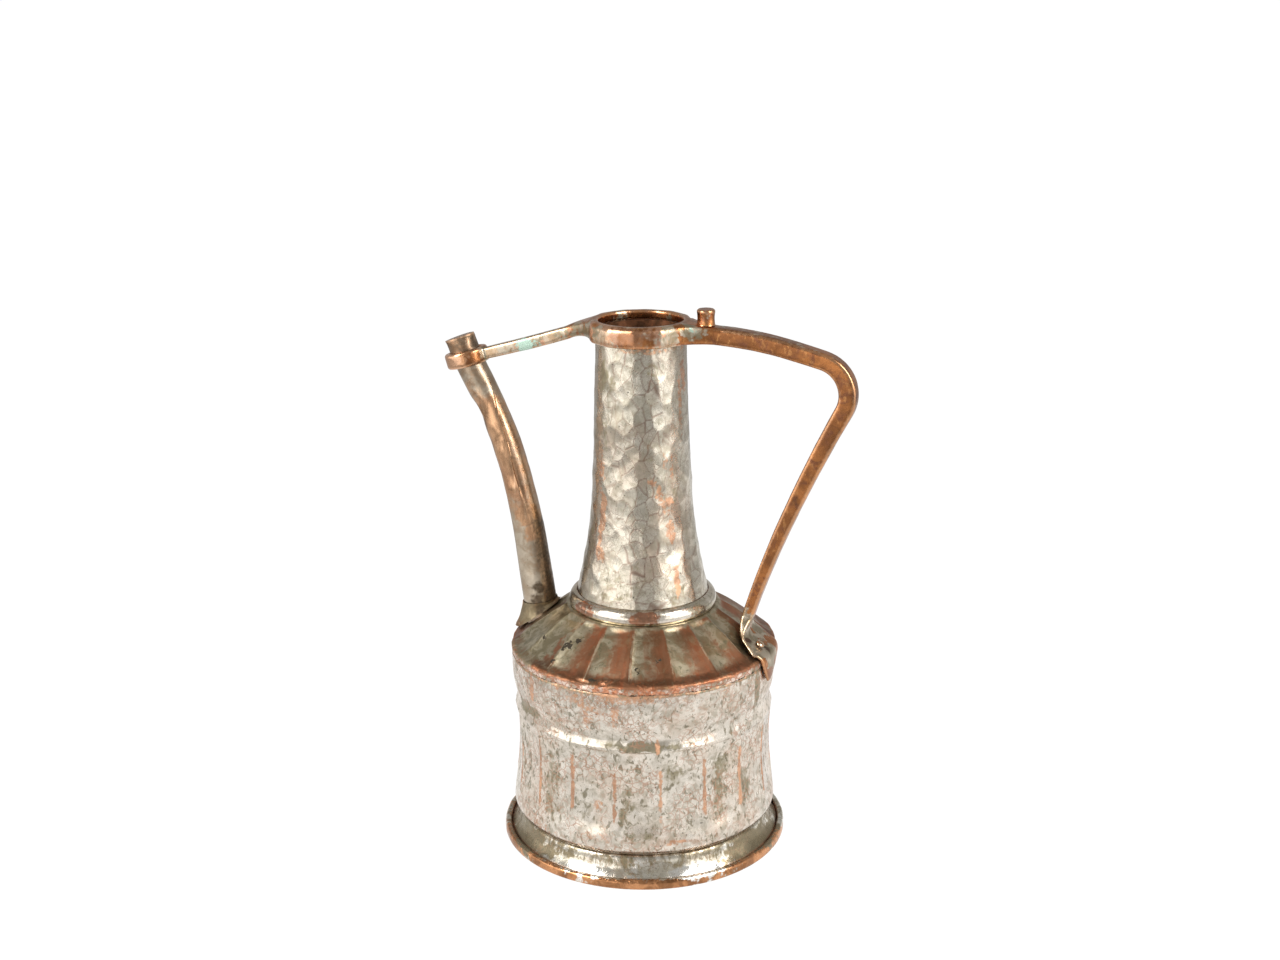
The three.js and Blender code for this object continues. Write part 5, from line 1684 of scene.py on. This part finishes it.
def makeSpout():
    line = spoutLine()
    height = line[:, 1:]
    row = np.arange(len(line))[:, None]
    turn = np.linspace(0, 1, spout["around"], endpoint=False)
    lap = fromTable(line[:, 1], spout["lapTurn"])
    lap = np.convolve(np.pad(lap, 8, "edge"), np.ones(17) / 17, "valid")
    angles = 2 * math.pi * turn + np.radians(lap)[:, None]
    up = rise(height, shoulderHigh[2], spout["kneeHeight"])
    radius = spout["rootRadius"] + (spout["upperRadius"] - spout["rootRadius"]) * up
    lapShare = 0.15 + 0.85 * rise(height, 184, 196) * (1 - rise(height, 232, 246))
    outer = radius + spout["lap"] * lapShare * (turn - 0.5)
    plain = spoutGrid(line, outer, angles)
    offTip = rise((len(line) - 1 - row) * 0.5, 4, 9)
    wobble = 0.3 * layeredNoise(plain, 13, 111) + 0.05 * layeredNoise(plain, 4, 112, 2)
    outer = outer + wobble * offTip - 0.2
    onAxis = np.stack([0 * height, 0 * height, height], -1)
    outer = outer - dented(onAxis, angles, radius, spout["dents"])
    tip = rise(row / (len(line) - 1), 0.965, 1.0)
    outer = outer + tip * (0.5 * np.cos(3 * angles + 0.6) + 0.3 * softNoise(plain, 2.5, 113))
    outside = spoutGrid(line, outer, angles)
    inside = spoutGrid(line[::-3], (outer - spout["wall"])[::-3], angles[::-3])
    return makePiece("spout_tube", [closedMesh(np.concatenate([outside, inside]))], 50)


def paintSpout(piece):
    # tin above and below a bare bend, a bright lap with a dark gap on each side, dark tip and bright lip;
    # the bright lap, a bright streak down the front and pale patches are painted highlights, and the gaps,
    # a crease at the knee, the left edge and the lower right side are painted shade
    points = pointsAndNormals(piece)[0]
    line = spoutLine()
    height = points[:, 2]
    middle = np.interp(height, line[:, 1], line[:, 0]) + axisX
    turn = np.degrees(np.arctan2(points[:, 1], points[:, 0] - middle))
    ragged = 16 * layeredNoise(points, 9, 311)
    high = rise(height + 0.7 * ragged, 236, 250)
    low = 1 - rise(height + 0.7 * ragged, 172, 196)
    # painted shade: the right side is greyer, and darker low down
    right = rise(turn + 1.2 * ragged, -78, -38) * (1 - rise(turn, 60, 100))
    tip = rise(height, 266, 270)
    tin = np.maximum(high * (0.72 - 0.3 * tip), 0.85 * low * (1 - 0.3 * right))
    tin = np.maximum(tin, 0.45 * right) * (1 - 0.9 * dabs(points, spoutPaint["lowCopper"], 313))
    lap = fromTable(height, spout["lapTurn"])
    beside = np.radians(np.mod(turn - lap + 180, 360) - 180) * spout["upperRadius"]
    beside = beside + 0.4 * softNoise(points, 3, 317)
    shown = rise(height, 184, 194) * (1 - rise(height, 236, 250))
    shown = shown * (0.75 + 0.25 * softNoise(points, 8, 319))
    # painted highlight on the lap's edge, painted shade in the gap on each side
    edge = bell(beside, 0, 0.55) * shown
    gap = bell(np.abs(beside), 1.1, 0.5) * shown
    tipDark = 0.5 * rise(height + 0.5 * ragged, 240, 256) + tip * (0.35 + 0.35 * softNoise(points, 3, 327))
    # painted shade in a crease beside the lap at the knee and down the left edge
    kneeCrease = bell(beside, 1.6, 1.1) * rise(height, 186, 194) * (1 - rise(height, 204, 214))
    leftEdge = (1 - rise(turn + 6 * softNoise(points, 12, 323), -152, -112)) * (1 - rise(-turn, 176, 180))
    rootDark = dabs(points, spoutPaint["rootDark"], 315)
    dark = np.max([0.95 * right * low, tipDark, 0.65 * kneeCrease, rootDark, 0.7 * gap, 0.5 * leftEdge], 0)
    # painted highlight: a streak down the front of the bend
    bright = bell(turn + 92 + 9 * softNoise(points, 14, 325), 0, 8)
    bright = bright * rise(height, 186, 200) * (1 - rise(height, 246, 258))
    tipWay = math.radians(90 + spout["tipLean"])
    alongTip = (points[:, 0] - axisX + casting["ringDistance"]) * math.cos(tipWay)
    alongTip = alongTip + (height - casting["ringHeight"]) * math.sin(tipWay)
    lip = rise(alongTip, spout["tipLength"] - 1.1, spout["tipLength"] - 0.4)
    fields = 0.9 * edge + 0.45 * bright + 0.8 * lip + dabs(points, spoutPaint["pale"], 321)
    rub = standingOut(piece, 1, 0.5) + fields
    paintOn(piece, rub=rub, tin=tin * (1 - edge), dark=dark * (1 - lip), green=0, pink=0)


spoutTube = makeSpout()
paintSpout(spoutTube)
dress(spoutTube, copperFinish("spout_copper", spoutLook), "dull_copper", "spout")
print("spout ready")

# Solder collar at the root of the spout
solder = {"gap": 0.2, "top": 0.35, "foot": 3.0, "height": 6.5, "rows": 16, "columns": 120}
solderPaint = {
    "topTin": 0.3,
    "tin": [(-60, -8, 124, 14, 0.9), (-60, 8, 124, 14, 0.9)],
    "dark": [(-57, -10, 125, 4, 0.9)],
}
solderLook = {
    **spoutLook,
    "brown": (128, 104, 78), "tinDark": (120, 107, 84), "tinLight": (150, 136, 110),
    "shine": 0.0, "rough": 0.58,
}


def makeSolder():
    # leans with the spout at its top and lies on the fluted shoulder at its foot
    angles = turnedAngles(solder["columns"])
    rows = np.linspace(0, 1, solder["rows"])[:, None]
    inner = spout["rootRadius"] + solder["gap"]
    lean = math.radians(-spout["rootLean"])
    root = spoutPlaces()[0]

    def placed(radius, height):
        return tilted(ring(radius, height, angles), lean, root)

    def wall(radius, share):
        # from the shoulder where share is 0 up to the collar's top where it is 1
        flat = placed(radius, 0)
        out, turn = np.hypot(flat[..., 0], flat[..., 1]), np.arctan2(flat[..., 1], flat[..., 0])
        place = np.stack([flat[..., 0], flat[..., 1], shoulderHeight(out)], -1)
        low = shoulderHeight(out) + 0.9 * shoulderLift(out, turn, place)
        high = placed(radius, solder["height"])
        z = low * (1 - share) + high[..., 2] * share
        return np.stack([high[..., 0] + (high[..., 2] - z) * math.tan(lean), high[..., 1], z], -1)

    outer = inner + solder["top"] + (solder["foot"] - solder["top"]) * (1 - rows) ** 2.4 + 0 * angles
    outer = outer + 0.35 * layeredNoise(placed(outer, 8 * rows), 4, 121) * (1 - 0.5 * rows)
    grid = np.concatenate([wall(outer, rows), wall(inner + 0 * rows + 0 * angles, 1 - rows)])
    return makePiece("spout_solder", [closedMesh(grid)])


solderRing = makeSolder()
paintForged(solderRing, solderPaint, 321)
dress(solderRing, copperFinish("solder_dull", solderLook), "dull_copper", "spout_root_collar")

# Pin on the root of the handle
pin = {
    "distance": 35.5,
    "radius": 4.9,
    "shank": 2.6,
    # share of the radius, share of the height
    "side": [(1, 0), (0.92, 0.4), (0.94, 0.66), (0.98, 0.82), (0.96, 0.93), (0.84, 1)],
    "columns": 72,
}
pinPaint = {"topTin": 0.2, "tin": [(38, -4, 297, 3, 0.4)], "dark": [(33, 3, 298, 3, 0.5)]}


def makePin():
    seat, top, out, shank = castHigh[2] - 1.5, pinHigh[2], pin["radius"], pin["shank"]
    high = top - seat
    side = [(out * wide, seat + high * up) for wide, up in pin["side"]]
    side[1:1] = [(out * 0.97, seat + 0.6)]
    outline = chain(
        curveThrough([(shank, pinLow[2]), (shank, seat)], 0.6),
        curveThrough([(shank, seat), side[0]], 0.4),
        curveThrough(side, 0.25),
        curveThrough([side[-1], (out * 0.2, top + 0.05)], 0.4),
    )
    grid = ring(outline[:, :1], outline[:, 1:], turnedAngles(pin["columns"]))
    grid = grid + 0.07 * layeredNoise(grid, 2.4, 131)[..., None] * [1, 1, 0.3]
    grid[..., 2] = np.minimum(grid[..., 2], top)
    grid[..., 0] += pin["distance"]
    return makePiece("pin_stub", [closedMesh(grid, "poles")])


pinStub = makePin()
paintForged(pinStub, pinPaint, 331)
dress(pinStub, copperFinish("pin_copper", castingLook), "bare_copper", "lid_pin")

# Rivet through the leaf of the handle and the shoulder
rivet = {
    "distance": 67.3,
    "side": -8.0,
    "radius": 2.4,
    "shank": 1.3,
    "tail": -3.8,  # heights along the rivet from the shoulder's surface
    "seat": 3.2,
    "dome": 1.3,
    "columns": 40,
}
# a pale, rubbed head; its pale tones also stand in for a glint there, a painted highlight
rivetLook = {
    **castingLook,
    "brown": (214, 190, 160), "orange": (226, 204, 176), "rough": 0.18, "specks": 0.0,
}


def makeRivet():
    lean = math.atan2(shoulder["topHeight"] - shoulder["edgeHeight"], rimRadius - shoulder["topRadius"])
    seat, tail, out, shank = rivet["seat"], rivet["tail"], rivet["radius"], rivet["shank"]
    dome = [(out, seat), (out * 0.93, seat + 0.5), (out * 0.6, seat + 1.1), (0.15, seat + rivet["dome"])]
    outline = chain(
        curveThrough([(0.3, tail), (shank, tail), (shank, seat)], 0.5),
        curveThrough([(shank, seat), dome[0]], 0.3),
        curveThrough(dome, 0.2),
    )
    grid = ring(outline[:, :1], outline[:, 1:], turnedAngles(rivet["columns"]))
    grid = tilted(grid, lean, (rivet["distance"], shoulderHeight(rivet["distance"])))
    turn = math.asin(rivet["side"] / rivet["distance"])
    x, y, z = np.moveaxis(grid, -1, 0)
    cos, sin = math.cos(turn), math.sin(turn)
    grid = np.stack([x * cos - y * sin, x * sin + y * cos, z], -1)
    return makePiece("leaf_rivet", [closedMesh(grid, "poles")])


leafRivet = makeRivet()
paintForged(leafRivet, {"topTin": 0.0}, 341)
dress(leafRivet, copperFinish("rivet_copper", rivetLook), "bare_copper", "handle_rivet")
print("small pieces ready")

# Two nodes keep their own shape: the wire in the rolled edge and the bottom
wireLook = {"dark": (58, 50, 46), "light": (96, 82, 72), "spot": (120, 74, 48), "rough": 0.55}
discLook = {"dark": (120, 108, 88), "light": (172, 160, 138), "spot": (150, 104, 74), "rough": 0.45}
for node, name, look in [("foot_rim_wire", "rim_iron", wireLook), ("bottom_disc", "bottom_tin", discLook)]:
    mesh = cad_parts[node].data
    mesh.materials.clear()
    mesh.materials.append(plainFinish(name, look))
print("wire and bottom dressed")
